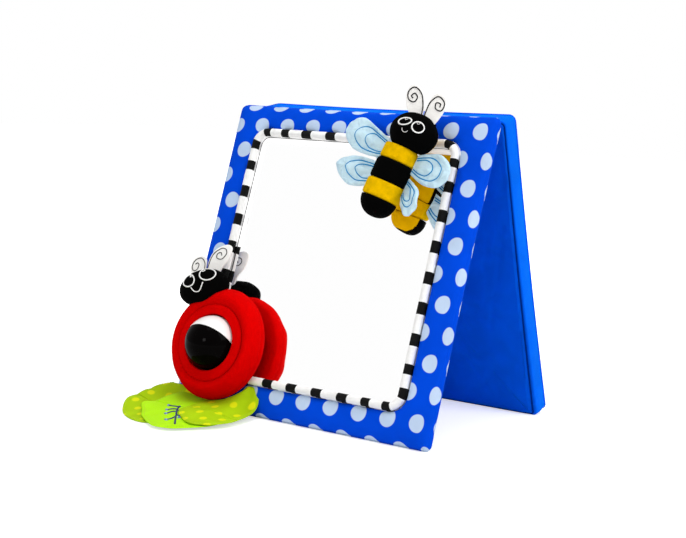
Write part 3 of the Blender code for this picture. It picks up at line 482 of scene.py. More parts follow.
ball_black = moulded("black_moulding", (0.0012, 0.0008, 0.0008), 0.05, 0.12, Specular_IOR_Level=0.015)
ball_white = moulded("white_moulding", (0.86, 0.86, 0.84), 0.10, 0.22)
matt_red = moulded("red_moulding", (0.55, 0.0, 0.004), 0.4, 0.55)
matt_white = moulded("axle_moulding", (0.75, 0.75, 0.73), 0.35, 0.5)
nodes["ladybug_rear_collar"].data.materials[0] = matt_red
nodes["ball_axle"].data.materials[0] = matt_white

# %% [markdown]
# ## Helpers that build pieces
#
# Most soft pieces here are lofts: rings of points joined by quads. A finished piece is a mesh with
# its place in its vertices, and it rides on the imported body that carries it. Each one prints its
# name and its number of faces when it is added.

# %% Places of the panels and insects
FRONT_LEAN = math.radians(18.46)
BACK_LEAN = math.radians(18.50)
BEE_TILT = math.radians(13.8)
FRONT = Matrix.Translation((0, -0.0117006, 0.0031890)) @ Matrix.Rotation(-FRONT_LEAN, 4, "X")
PANEL_HALF = 0.1400
PANEL_HEIGHT = 0.2890
FRONT_THICK = 0.0150
FOLD = Matrix.Translation(FRONT @ Vector((0, FRONT_THICK + 0.0005, PANEL_HEIGHT)))
BACK = FOLD @ Matrix.Rotation(BACK_LEAN, 4, "X")
BEE = FRONT @ Matrix.Translation((0.0581, -0.0235, 0.2022)) @ Matrix.Rotation(BEE_TILT, 4, "Y")
UPRIGHT = Matrix.Rotation(math.radians(90), 4, "X")
BUG = FRONT @ Matrix.Translation((-0.0861, -0.0140, 0.0551)) @ UPRIGHT

# %% Helpers for meshes


def mix(low, high, share):
    """The value at a share of the way from low to high."""
    return low + (high - low) * share


def smooth_step(share):
    share = min(1.0, max(0.0, share))
    return share * share * (3 - 2 * share)


def wobble(point, size, seed=0.0):
    """Smooth noise between -1 and 1 whose bumps are about size across."""
    return noise.noise(Vector(point) / size + Vector((seed, 3.1 * seed, 0)))


def circle(count):
    """Cosine and sine at even steps round a circle."""
    return [(math.cos(math.tau * k / count), math.sin(math.tau * k / count)) for k in range(count)]


def keep_mesh(bm, name, smooth=True):
    """Turn a BMesh into a plain mesh."""
    mesh = bpy.data.meshes.new(name)
    bm.to_mesh(mesh)
    bm.free()
    if smooth:
        mesh.shade_smooth()
    return mesh


def loft(name, rings, cap_first=False, cap_last=False, uv=None, join_ends=False):
    """Join rings of equally many points with quads. uv gives each point's place on the cloth."""
    bm = bmesh.new()
    rows = [[bm.verts.new(point) for point in ring] for ring in rings]
    if join_ends:
        rows.append(rows[0])
    count = len(rows[0])
    layer = bm.loops.layers.uv.new("cloth") if uv is not None else None
    for r in range(len(rows) - 1):
        for i in range(count):
            j = (i + 1) % count
            face = bm.faces.new((rows[r][i], rows[r][j], rows[r + 1][j], rows[r + 1][i]))
            if layer:
                for loop, (a, b) in zip(face.loops, ((r, i), (r, j), (r + 1, j), (r + 1, i))):
                    loop[layer].uv = uv[a][b]
    if cap_first:
        bm.faces.new(list(reversed(rows[0])))
    if cap_last:
        bm.faces.new(rows[-1])
    if (cap_first and cap_last) or join_ends:
        bmesh.ops.recalc_face_normals(bm, faces=bm.faces)
    return keep_mesh(bm, name)


def look_along(mesh, faces, way):
    """Flip an open surface if these faces of it look away from a direction."""
    if sum(face.normal.dot(way) for face in faces) < 0:
        mesh.flip_normals()


def run_modifier(mesh, kind, inputs=(), **settings):
    """Run one modifier on a mesh, and return the plain mesh that it gives."""
    holder = bpy.data.objects.new("holder", mesh)
    modifier = holder.modifiers.new("work", kind)
    for label, value in settings.items():
        setattr(modifier, label, value)
    for identifier, value in inputs:
        modifier[identifier] = value
    scene.collection.objects.link(holder)
    graph = bpy.context.evaluated_depsgraph_get()
    made = bpy.data.meshes.new_from_object(holder.evaluated_get(graph))
    bpy.data.objects.remove(holder)
    return made


def add_piece(name, mesh, finish, body, slot, replaces=()):
    """Put a finished mesh in the scene, on its body, in place of the nodes that it stands for."""
    piece = bpy.data.objects.new(name, mesh)
    scene.collection.objects.link(piece)
    mesh.name = name
    mesh.materials.clear()
    mesh.materials.append(finish)
    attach(piece, body)
    if replaces:
        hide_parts(*replaces)
    print("made", name, "with", len(mesh.polygons), "faces")
    return piece


def add_thickness(mesh, thickness):
    """Give an open surface a wall, and return the closed mesh."""
    made = run_modifier(mesh, "SOLIDIFY", thickness=thickness, offset=-1.0)
    made.shade_smooth()
    made.set_sharp_from_angle(angle=math.radians(50))
    return made


def spline(points, steps, closed=False):
    """A smooth line through a few points, as a longer list of points."""
    points = [Vector(p) for p in points]
    count = len(points)
    line = []
    for i in range(count if closed else count - 1):
        if closed:
            a, b, c, d = (points[(i + k) % count] for k in (-1, 0, 1, 2))
        else:
            b, c = points[i], points[i + 1]
            a = points[i - 1] if i else b * 2 - c
            d = points[i + 2] if i + 2 < count else c * 2 - b
        for step in range(steps):
            t = step / steps
            line.append(0.5 * (2 * b + (c - a) * t + (2 * a - 5 * b + 4 * c - d) * t ** 2
                               + (3 * b - 3 * c + d - a) * t ** 3))
    if not closed:
        line.append(points[-1])
    return line


# %% [markdown]
# ## Geometry Nodes for what follows a line
#
# Seams, embroidery and piping all follow a line. Two trees make them: one sweeps a thread along the
# line, and one sets separate stitches along it. Each takes its sizes as named inputs and ends in
# Realize Instances and Set Material, and the result is kept as a plain mesh.

# %% Tree: a thread swept along lines


def end_tree(tree, geometry, material, result):
    """Shade it smooth, make every instance real and give it its material."""
    soft = add_node(tree, "GeometryNodeSetShadeSmooth", {"Geometry": geometry})
    real = add_node(tree, "GeometryNodeRealizeInstances", {"Geometry": soft.outputs[0]})
    done = add_node(tree, "GeometryNodeSetMaterial", {
        "Geometry": real.outputs[0], "Material": material})
    tree.links.new(done.outputs[0], result["Geometry"])
    return tree


def make_thread_tree():
    tree, given, result = start_group(
        "swept_thread", "GeometryNodeTree",
        [("Geometry", "Geometry", None), ("Radius", "Float", 0.0005), ("Step", "Float", 0.0008),
         ("Material", "Material", None)], [("Geometry", "Geometry")])
    line = add_node(tree, "GeometryNodeMeshToCurve", {"Mesh": given["Geometry"]})
    even = add_node(tree, "GeometryNodeResampleCurve", {
        "Curve": line.outputs[0], "Length": given["Step"]}, mode="LENGTH")
    section = add_node(tree, "GeometryNodeCurvePrimitiveCircle", {
        "Resolution": 8, "Radius": given["Radius"]})
    swept = add_node(tree, "GeometryNodeCurveToMesh", {
        "Curve": even.outputs[0], "Profile Curve": section.outputs[0], "Fill Caps": True})
    return end_tree(tree, swept.outputs[0], given["Material"], result)


thread_tree = make_thread_tree()

# %% Tree: separate stitches set along lines


def make_stitch_tree():
    tree, given, result = start_group(
        "running_stitch", "GeometryNodeTree",
        [("Geometry", "Geometry", None), ("Pitch", "Float", 0.0024),
         ("Stitch Length", "Float", 0.0018), ("Radius", "Float", 0.0003),
         ("Material", "Material", None)], [("Geometry", "Geometry")])
    line = add_node(tree, "GeometryNodeMeshToCurve", {"Mesh": given["Geometry"]})
    places = add_node(tree, "GeometryNodeCurveToPoints", {
        "Curve": line.outputs[0], "Length": given["Pitch"]}, mode="LENGTH")
    bead = add_node(tree, "GeometryNodeMeshUVSphere", {"Segments": 6, "Rings": 5, "Radius": 1.0})
    half = calc(tree, "MULTIPLY", given["Stitch Length"], 0.5)
    size = add_node(tree, "ShaderNodeCombineXYZ", {
        "X": given["Radius"], "Y": given["Radius"], "Z": half})
    stitch = add_node(tree, "GeometryNodeTransform", {
        "Geometry": bead.outputs[0], "Scale": size.outputs[0]})
    placed = add_node(tree, "GeometryNodeInstanceOnPoints", {
        "Points": places.outputs["Points"], "Instance": stitch.outputs[0],
        "Rotation": places.outputs["Rotation"]})
    return end_tree(tree, placed.outputs[0], given["Material"], result)


stitch_tree = make_stitch_tree()

# %% Tree: piping with dark and light stretches


def make_piping_tree():
    tree, given, result = start_group(
        "striped_cord", "GeometryNodeTree",
        [("Geometry", "Geometry", None), ("Radius", "Float", 0.00375), ("Rings", "Int", 900),
         ("Stripe Pairs", "Float", 36.0), ("Eased at a Corner", "Float", 0.9),
         ("Corner Reach", "Float", 0.05), ("First Stripe", "Float", -0.1),
         ("Dark Share", "Float", 0.4),
         *(("Corner %d" % k, "Float", 0.0) for k in range(1, 5)), ("Material", "Material", None)],
        [("Geometry", "Geometry")])
    line = add_node(tree, "GeometryNodeMeshToCurve", {"Mesh": given["Geometry"]})
    even = add_node(tree, "GeometryNodeResampleCurve", {
        "Curve": line.outputs[0], "Count": given["Rings"]}, mode="COUNT")
    along = add_node(tree, "GeometryNodeSplineParameter")
    plain = calc(tree, "MULTIPLY_ADD", given["Eased at a Corner"], -4.0, given["Stripe Pairs"])
    turns = calc(tree, "MULTIPLY_ADD", along.outputs["Factor"], plain, given["First Stripe"])
    for k in range(1, 5):
        corner = given["Corner %d" % k]
        eased = add_node(tree, "ShaderNodeMapRange", {
            "Value": along.outputs["Length"],
            "From Min": calc(tree, "SUBTRACT", corner, given["Corner Reach"]),
            "From Max": calc(tree, "ADD", corner, given["Corner Reach"]),
            "To Max": given["Eased at a Corner"]}, interpolation_type="SMOOTHSTEP")
        turns = calc(tree, "ADD", turns, eased.outputs["Result"])
    marked = add_node(tree, "GeometryNodeStoreNamedAttribute", {
        "Geometry": even.outputs[0], "Name": "stripe", "Value": turns},
        data_type="FLOAT", domain="POINT")
    section = add_node(tree, "GeometryNodeCurvePrimitiveCircle", {
        "Resolution": 16, "Radius": given["Radius"]})
    swept = add_node(tree, "GeometryNodeCurveToMesh", {
        "Curve": marked.outputs[0], "Profile Curve": section.outputs[0]})
    stripe = add_node(tree, "GeometryNodeInputNamedAttribute", {"Name": "stripe"}, data_type="FLOAT")
    place = calc(tree, "FRACT", calc(tree, "ADD", stripe.outputs["Attribute"], 0.2))
    striped = add_node(tree, "GeometryNodeStoreNamedAttribute", {
        "Geometry": swept.outputs[0], "Name": "dark",
        "Value": calc(tree, "LESS_THAN", place, given["Dark Share"])},
        data_type="FLOAT", domain="FACE")
    return end_tree(tree, striped.outputs[0], given["Material"], result)


piping_tree = make_piping_tree()
print("geometry trees:", thread_tree.name, stitch_tree.name, piping_tree.name)

# %% Helper: run a tree on lines of points and keep the plain mesh
STITCH_RADIUS = 0.00028


def lines_mesh(name, lines):
    """A mesh of edges only. Each line is a list of points and whether it closes on itself."""
    points, edges = [], []
    for line, closed in lines:
        first = len(points)
        points.extend(tuple(p) for p in line)
        edges.extend((first + i, first + i + 1) for i in range(len(line) - 1))
        if closed:
            edges.append((len(points) - 1, first))
    mesh = bpy.data.meshes.new(name)
    mesh.from_pydata(points, edges, [])
    return mesh


def grow_on_lines(name, lines, tree, inputs):
    """Run a Geometry Nodes tree on lines. Inputs are set by identifier before it is evaluated."""
    sockets = {item.name: item.identifier for item in tree.interface.items_tree
               if item.in_out == "INPUT"}
    named = [(sockets[label], value) for label, value in inputs.items()]
    return run_modifier(lines_mesh(name, lines), "NODES", named, node_group=tree)


def sew_thread(name, lines, radius, finish, body, slot, step=0.0008):
    """A thread or a cord along lines, as a piece."""
    mesh = grow_on_lines(name, lines, thread_tree, {
        "Radius": radius, "Step": step, "Material": finish})
    return add_piece(name, mesh, finish, body, slot)


def sew_stitches(name, lines, pitch, length, radius, finish, body, slot):
    """Separate stitches along lines, as a piece."""
    mesh = grow_on_lines(name, lines, stitch_tree, {
        "Pitch": pitch, "Stitch Length": length, "Radius": radius, "Material": finish})
    return add_piece(name, mesh, finish, body, slot)


# %% [markdown]
# ## The front cover
#
# One piece of printed cotton wraps the foam frame: it rolls up from the back, over the side, puffs
# out over the foam and dives in at the piping. It could be a beveled box, but then the dots would
# break at the edge. Here it is lofted ring by ring, and the UV map is the cloth laid flat: each
# point keeps its place on the panel, moved outward by the cloth that the curve takes up.

# %% Front cover
BORDER_CROWN = 0.0053
SHOULDER_DEPTH = 0.0055
INNER_DEPTH = 0.00285
EDGE_ROUND = 0.0040
OUTER_CORNER = 0.0052
SIDE_DRAW = 0.0012
SIDE_PUFF = 0.0016
TUCK = 0.0042
SIDE_EASE, TOP_EASE = 0.0065, 0.0060   # how much of the print is eased in at the right and top edges
SKEW = 0.026                           # the cloth is cut a little askew
LUMP, GATHER, CORNER_GATHER = 0.0005, 0.00035, 0.0004
COVER_WALL, LINING_WALL = 0.0010, 0.0008
PIPING = (0.1090, 0.0300, 0.2620, 0.0120)   # half width, low, high, corner radius of its centre line
PIPING_RADIUS = 0.00375
TO_COVER = 0.00405                          # from its centre line to the edge of the cover
WINDOW = (PIPING[0] + TO_COVER, PIPING[1] - TO_COVER, PIPING[2] + TO_COVER, PIPING[3] + TO_COVER)


def outline(half, low, high, radius, draw=0.0, per_side=56, per_corner=10):
    """Points and outward directions round an upright rounded rectangle, from its lower right."""
    inner = half - radius
    corners = ((inner, low + radius, -90), (inner, high - radius, 0),
               (-inner, high - radius, 90), (-inner, low + radius, 180))
    points, directions = [], []
    for index, (x, z, start) in enumerate(corners):
        for step in range(per_corner + 1):
            angle = math.radians(start + 90 * step / per_corner)
            directions.append((math.cos(angle), math.sin(angle)))
            points.append((x + radius * math.cos(angle), z + radius * math.sin(angle)))
        next_x, next_z, _ = corners[(index + 1) % 4]
        angle = math.radians(start + 90)
        out = (math.cos(angle), math.sin(angle))
        first = (x + radius * out[0], z + radius * out[1])
        last = (next_x + radius * out[0], next_z + radius * out[1])
        for step in range(1, per_side):
            share = step / per_side
            pull = 0 if index == 3 else draw * math.sin(math.pi * share)
            points.append((mix(first[0], last[0], share) - out[0] * pull,
                           mix(first[1], last[1], share) - out[1] * pull))
            directions.append(out)
    return np.array(points), np.array(directions)


def bulge(share, power):
    """0 at both ends and 1 in the middle, fuller for a higher power."""
    return (1 - abs(2 * share - 1) ** power) ** (1 / power)


def at_depth(flat, depth):
    """Rows of (x, height) in a panel's frame as rows of (x, depth, height)."""
    return np.column_stack([flat[:, 0], np.broadcast_to(depth, len(flat)), flat[:, 1]])


def to_world(matrix, points):
    """Rows of (x, depth, height) in a panel's frame as world points, pressed flat on the floor."""
    m = np.array(matrix)
    world = points @ m[:3, :3].T + m[:3, 3]
    world[..., 2] = np.maximum(world[..., 2], 0.0)
    return world


def tucked(flat):
    """The ladybug's weight pulls the lower left corner in, most at 20 mm up the panel."""
    moved = flat.copy()
    near = np.clip((-0.10 - flat[:, 0]) / 0.03, 0, 1)
    moved[:, 0] += TUCK * near * np.exp(-((flat[:, 1] - 0.020) / 0.034) ** 2)
    return moved


def build_front_cover():
    """Rings of cloth from the back, over the side and the crown, down to the piping."""
    outer, out = outline(PANEL_HALF, 0.0, PANEL_HEIGHT, OUTER_CORNER, SIDE_DRAW)
    outer = tucked(outer)
    inner, _ = outline(*WINDOW)
    count = len(outer)
    rows = []
    back_rows = [(0.0085, FRONT_THICK), (0.006, FRONT_THICK)]
    for step in range(7):
        angle = math.radians(90 * step / 6)
        back_rows.append((EDGE_ROUND * (1 - math.sin(angle)),
                          FRONT_THICK - EDGE_ROUND * (1 - math.cos(angle))))
    for step in range(1, 5):
        share = step / 5
        puff = -SIDE_PUFF * math.sin(math.pi * share)
        back_rows.append((puff, mix(FRONT_THICK - EDGE_ROUND, SHOULDER_DEPTH, share)))
    for inset, depth in back_rows:
        rows.append(at_depth(outer - out * inset, depth))
    steps = 34
    crown_row = None
    for step in range(steps + 1):
        share = (1 - math.cos(math.pi * step / steps)) / 2
        flat = outer * (1 - share) + inner * share
        base = mix(SHOULDER_DEPTH, INNER_DEPTH, share)
        depth = np.full(count, base - BORDER_CROWN * bulge(share, 2.4))
        for i in range(count):
            x, z = flat[i]
            soft = wobble((x, z, 0), 0.035, 1.0) * LUMP * bulge(share, 2.4)
            corner = abs(out[i][0] * out[i][1]) * 2
            gather = smooth_step((share - 0.5) / 0.4) * (1 - smooth_step((share - 0.96) / 0.04))
            fold = wobble((i * 0.0042, share * 0.004, 0), 0.0045, 2.0)
            depth[i] += soft + fold * (GATHER + CORNER_GATHER * corner) * gather
        rows.append(at_depth(flat, depth))
        if crown_row is None and share >= 0.5:
            crown_row = len(rows) - 1
    rows = np.array(rows)
    flat = rows[:, :, [0, 2]]
    inward = -np.sum(np.diff(flat, axis=0) * out, axis=2)
    sideways = np.diff(rows[:, :, 1], axis=0)
    lengths, spans = np.zeros((2, len(rows), count))
    lengths[1:] = np.cumsum(np.hypot(inward, sideways), axis=0)
    spans[1:] = np.cumsum(inward, axis=0)
    extra = (lengths[crown_row] - lengths) - (spans[crown_row] - spans)
    uv = flat + out[None, :, :] * extra[:, :, None]
    uv[:, :, 0] += SIDE_EASE * np.clip((flat[:, :, 0] - 0.131) / 0.009, 0, 1) ** 1.3
    uv[:, :, 1] += (0.129 - uv[:, :, 0]) * SKEW * uv[:, :, 1] / PANEL_HEIGHT
    upper = np.clip((flat[:, :, 1] - PIPING[2]) / 0.025, 0, None) ** 2.5
    uv[:, :, 1] += TOP_EASE * (upper * np.clip((0.060 - flat[:, :, 0]) / 0.05, 0, 1))
    return loft("front_cover", to_world(FRONT, rows).tolist(), uv=uv.tolist())


front_cover_mesh = build_front_cover()
right_border = FRONT @ Vector((PANEL_HALF - 0.0155, 0.0, 0.14))
facing = [face for face in front_cover_mesh.polygons if (face.center - right_border).length < 0.01]
look_along(front_cover_mesh, facing, FRONT.to_3x3() @ Vector((0, -1, 0)))
front_cover = add_piece("front_panel_cover", add_thickness(front_cover_mesh, COVER_WALL), dotted_blue,
                        "front_panel", "dotted_fabric", ("front_cover", "front_pad"))

# %% [markdown]
# ## Linings and seams of the front panel
#
# The back of the front panel is closed by a plain blue lining, sewn on inside the rolled edge. A
# row of stitches holds it. The lining is one sheet of cloth that is pulled tight with a few soft
# folds, so it is a shallow loft pressed in a little, never out, because both panels fold together.

# %% Lining of the front panel
LINING_INSET, SEAM_INSET = 0.0043, 0.0058
LINING_FOLD = 0.0011


def inset_outline(inset, radius, per_side, per_corner):
    """The front panel's outline, moved inward."""
    edge, _ = outline(PANEL_HALF - inset, inset, PANEL_HEIGHT - inset, radius,
                      per_side=per_side, per_corner=per_corner)
    return tucked(edge)


def lining_depth(x, z, share):
    """Depth of the lining, whose soft diagonal folds are pressed in."""
    diagonal = wobble(((x + z * 0.7), (x * 0.3 - z) * 0.25, 0), 0.024, 4.0)
    return FRONT_THICK - 0.0001 - LINING_FOLD * max(0.0, diagonal) * smooth_step(share * 6)


def build_lining(rings=22):
    """Rings of a nearly flat sheet, from its edge to its middle."""
    edge = inset_outline(LINING_INSET, 0.003, 40, 6)
    centre = np.array([0.0, PANEL_HEIGHT / 2])
    core = centre + (edge - centre) * 0.03
    rows = []
    for ring in range(rings + 1):
        share = ring / rings
        flat = edge * (1 - share) + core * share
        rows.append(at_depth(flat, [lining_depth(x, z, share) for x, z in flat]))
    return loft("lining", to_world(FRONT, np.array(rows)).tolist(), cap_last=True)


lining_mesh = build_lining()
look_along(lining_mesh, lining_mesh.polygons[:1], FRONT.to_3x3() @ Vector((0, 1, 0)))
front_lining = add_piece("front_panel_lining", add_thickness(lining_mesh, LINING_WALL), plain_blue,
                         "front_panel", "plain_fabric", ("front_lining",))
seam_line = to_world(FRONT, at_depth(inset_outline(SEAM_INSET, 0.004, 30, 4), FRONT_THICK + 0.0001))
sew_stitches("front_lining_stitches", [(seam_line.tolist(), True)], 0.0036, 0.0026, STITCH_RADIUS,
             blue_thread, "front_panel", "plain_fabric")

# %% [markdown]
# ## Striped piping
#
# Piping is a cord in a strip of striped cloth, sewn between the border and the mirror. The tree
# walks the rounded rectangle of its centre line once and counts 36 stripe pairs on the way. The
# strip is eased round the corners, so the stripes crowd there, and its count runs faster.

# %% Piping round the mirror
MIRROR_DEPTH, PIPING_GAP = 0.0035, 0.0003   # how deep the mirror's face lies, and the gap over it


def piping_line():
    """Centre line of the piping, starting where a dark stripe starts on the top side."""
    points, _ = outline(*PIPING, per_side=60, per_corner=16)
    flat = [Vector((x, z)) for x, z in points]
    start = min(range(len(flat)), key=lambda i: (flat[i] - Vector((-0.0336, PIPING[2]))).length)
    flat = flat[start:] + flat[:start]
    flat.reverse()
    flat = flat[-1:] + flat[:-1]
    depth = MIRROR_DEPTH - PIPING_GAP - PIPING_RADIUS
    return [FRONT @ Vector((p.x, depth, p.y)) for p in flat]


def corner_places(line):
    """How far along the line the middle of each rounded corner is."""
    reach = [0.0]
    for a, b in zip(line, line[1:]):
        reach.append(reach[-1] + (b - a).length)
    half, low, high, radius = PIPING
    inset = radius * (1 - math.sqrt(0.5))
    flat = [FRONT.inverted() @ p for p in line]
    corners = [(x, z) for x, z in ((half - inset, high - inset), (half - inset, low + inset),
                                   (inset - half, low + inset), (inset - half, high - inset))]
    return [reach[min(range(len(flat)), key=lambda i: math.hypot(flat[i].x - x, flat[i].z - z))]
            for x, z in corners]


line = piping_line()
places = {"Corner %d" % (k + 1): place for k, place in enumerate(corner_places(line))}
piping_mesh = grow_on_lines("piping", [(line, True)], piping_tree, {
    "Radius": PIPING_RADIUS, "Rings": 900, "Stripe Pairs": 36.0, "Eased at a Corner": 0.9,
    "Corner Reach": 0.05, "First Stripe": -0.301, "Dark Share": 0.4, **places,
    "Material": piping_cloth})
add_piece("mirror_striped_piping", piping_mesh, piping_cloth, "front_panel", "piping",
          ("mirror_piping",))
print("corners of the piping in metres:", [round(v, 3) for v in places.values()])
# A black thread along the film's edge, just under the piping: a dark line that paints the piping's
# contact shadow on the mirror.
film_edge, _ = outline(PIPING[0] - 0.0037, PIPING[1] + 0.0037, PIPING[2] - 0.0037, 0.0085,
                       per_side=40, per_corner=10)
film_line = to_world(FRONT, at_depth(film_edge, 0.0032))
sew_thread("mirror_edge_shadow_thread", [(film_line.tolist(), True)], STITCH_RADIUS, black_thread,
           "front_panel", "piping", step=0.002)

# %% [markdown]
# ## The back panel
#
# The back panel is a boxed cushion: a flat inner face, a straight side band and a domed outer face,
# with a thin corded seam along both edges of the band. The inner seam's cord is dark navy: painted
# shade for the dark line of the gap at that seam. The inner face could be left flat, but the
# cloth is lightly pressed into long folds and gathered at its seam, and that is what the light
# shows. One closed loft makes the cushion, and the thread tree makes the two corded seams.

# %% Back cushion
BACK_HEIGHT = 0.28907
BACK_FACE = 0.0005
BACK_SHOULDER = 0.0190
BACK_CROWN = 0.0085

# Pressed folds of its inner face, as lines across and up from the fold.
PRESSED = [((0.1265, -0.0989), (0.1158, -0.1464), (0.1013, -0.2013)),
           ((0.0702, -0.2346), (0.0796, -0.2464), (0.0887, -0.2609)),
           ((0.1350, -0.2041), (0.1355, -0.2348), (0.1366, -0.2607)),
           ((0.1101, -0.1078), (0.1019, -0.1431)), ((0.1316, -0.0208), (0.1330, -0.0556))]
PRESSED += [[(0.012 - x * 0.93, z * 0.94 - 0.008) for x, z in fold] for fold in PRESSED]
PRESS_DEPTH, PRESS_WIDTH = 0.0009, 0.0024
WELT_RADIUS, FOLD_RADIUS = 0.0007, 0.0023
FACE_SINK, DEEPEST = 0.0006, 0.0013          # how far the inner face sinks in, and at most
SEAM_GATHER, SEAM_SUNK = 0.00035, 0.0014     # the cloth at the inner seam
EDGE_GATHER, BAND_PUFF, BAND_RIPPLE = 0.0002, 0.0006, 0.0003
OUTER_LUMP = 0.0009
SLUMP = 0.0040


def pressed(flat):
    """How deep the folds are pressed in at rows of (x, z) points: 0 to 1."""
    total = np.zeros(len(flat))
    for fold in PRESSED:
        fold = np.array(fold)
        near = np.full(len(flat), 1.0)
        for a, b in zip(fold, fold[1:]):
            share = np.clip((flat - a) @ (b - a) / ((b - a) @ (b - a)), 0, 1)
            near = np.minimum(near, np.linalg.norm(flat - a - share[:, None] * (b - a), axis=1))
        total = np.maximum(total, np.exp(-(near / PRESS_WIDTH) ** 2))
    return total


def slump(flat):
    """The left end of the top edge hangs a little lower."""
    moved = flat.copy()
    low = np.clip((-0.116 - flat[:, 0]) / 0.022, 0, 1)
    moved[:, 1] -= SLUMP * low * low * (3 - 2 * low) * np.clip(1 + flat[:, 1] / 0.03, 0, 1)
    return moved


def back_outline():
    """The back panel's outline, its outward directions, and how far its edge is rounded there."""
    edge, out = outline(PANEL_HALF, -BACK_HEIGHT, 0.0, 0.0050, SIDE_DRAW, per_side=130, per_corner=8)
    low = np.clip(-edge[:, 1] / BACK_HEIGHT, 0, 1)
    round_by = np.where(np.abs(out[:, 0]) > 0.5, mix(0.0028, 0.0078, low ** 1.5), EDGE_ROUND)[:, None]
    return edge, out, sum(np.roll(round_by, k, axis=0) for k in range(-6, 7)) / 13


def build_back_cushion():
    """Rings from the middle of the inner face, over its seam and the band, to the outer face."""
    edge, out, round_by = back_outline()
    centre = np.array([0.0, -BACK_HEIGHT / 2])
    core = centre + (edge - centre) * 0.02
    gather = np.array([wobble((x, z, 0), 0.0055, 7.0) for x, z in edge])
    rows = []

    def add(flat, depth):
        rows.append(at_depth(slump(flat), depth))

    inset = edge - out * round_by
    shares = [1 - (k / 44) * 0.40 for k in range(44)] + [0.60 * (1 - k / 14) for k in range(14)]
    for share in reversed(shares):
        flat = inset * share + core * (1 - share)
        soft = np.array([wobble((x + z * 0.35, (z - x * 0.35) * 0.25, 0), 0.015, 4.0)
                         for x, z in flat])
        near_seam = math.exp(-(1 - share) / 0.045)
        depth = FACE_SINK * (1 + 1.4 * soft) * (1 - near_seam) + PRESS_DEPTH * pressed(flat)
        depth += (SEAM_GATHER * (1 + gather)) * near_seam
        add(flat, BACK_FACE - 0.0002 + DEEPEST * np.tanh(depth / DEEPEST))
    for step in range(13):
        angle = math.radians(90 * step / 12)
        sunk = SEAM_SUNK * math.exp(-((step - 5) / 1.8) ** 2)
        drawn = round_by - (round_by - sunk) * math.sin(angle) + EDGE_GATHER * gather[:, None]
        add(edge - out * drawn,
            BACK_FACE + EDGE_ROUND - (EDGE_ROUND - sunk) * math.cos(angle) + 0.00025 * (1 + gather))
    for step in range(1, 8):
        share = step / 8
        puff = BAND_PUFF * math.sin(math.pi * share) - EDGE_GATHER * gather * (1 - share) ** 3
        ripple = np.array([wobble((x, z, share * 0.02), 0.03, 7.0) * BAND_RIPPLE for x, z in edge])
        add(edge + out * (puff + ripple)[:, None],
            mix(BACK_FACE + EDGE_ROUND, BACK_SHOULDER, share))
    rings = 36
    for ring in range(rings + 1):
        share = (ring / rings) ** 1.7
        flat = edge * (1 - share) + core * share
        dome = (1 - (1 - share) ** 2.6) ** (1 / 2.6)
        lumps = np.array([wobble((x, z, 0), 0.05, 9.0) for x, z in flat]) * OUTER_LUMP * dome
        add(flat, BACK_SHOULDER + BACK_CROWN * dome + lumps)
    points = to_world(BACK, np.array(rows)).tolist()
    return loft("back_cushion", points, cap_first=True, cap_last=True)


add_piece("back_panel_cushion", build_back_cushion(), plain_blue, "back_panel", "plain_fabric",
          ("back_cover", "back_lining", "back_pad"))
edge, out, round_by = back_outline()
# The inner cord's dark thread paints the shadow line of the seam's gap; the outer cord is plain blue.
for name, line, depth, cord in (
        ("inner", edge - out * (round_by * 0.42 + 0.0004), BACK_FACE + 0.0014, seam_shade_thread),
        ("outer", edge + out * 0.0002, BACK_SHOULDER, plain_blue)):
    points = to_world(BACK, at_depth(slump(line), depth))
    points[:, 2] = np.maximum(points[:, 2], 0.0009)      # above the floor by the cord's radius
    sew_thread("back_panel_%s_welt" % name, [(points.tolist(), True)], WELT_RADIUS, cord,
               "back_panel", "plain_fabric", step=0.0025)
seam_ends = [FOLD @ Vector((side * 0.136, 0, -0.0006)) for side in (-1, 1)]
fold_seam = sew_thread("fold_rolled_seam", [(seam_ends, False)], FOLD_RADIUS, plain_blue,
                       "front_panel", "plain_fabric", step=0.004)
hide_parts("fold_seam")

# %% [markdown]
# ## The ladybug's ring and collar
#
# The ladybug's body is a stuffed velour ring. Its section is domed in front and flat behind, and
# its outline is a little taller than wide, so a plain torus won't do: a closed section is carried
# round an oval. A seam runs round the outer edge, where the front and the back are sewn.

# %% Plush ring
RING_RADIUS, RING_TALL, RING_RISE = 0.0484, 0.0512, 0.0012
RING_FRONT, RING_BACK = 0.0145, 0.0092
COLLAR_BORE, COLLAR_WALL, COLLAR_FLANGE, FLANGE_THICK = 0.0260, 0.0011, 0.0352, 0.0026
GAP = 0.0003
PLUSH_LUMP, RING_SEAM = 0.00045, 0.0007      # unevenness of the ring, and depth of its outer seam
LIP, LIP_ROUND = 0.0013, 0.0050              # roundings of the collar at the ball and at its edge


def ring_rim(across, up):
    """Distance of the ring's outer seam from the ball's centre, in a direction."""
    a = (across / RING_RADIUS) ** 2 + (up / RING_TALL) ** 2
    b = -2 * up * RING_RISE / RING_TALL ** 2
    c = (RING_RISE / RING_TALL) ** 2 - 1
    return (-b + math.sqrt(b * b - 4 * a * c)) / (2 * a)


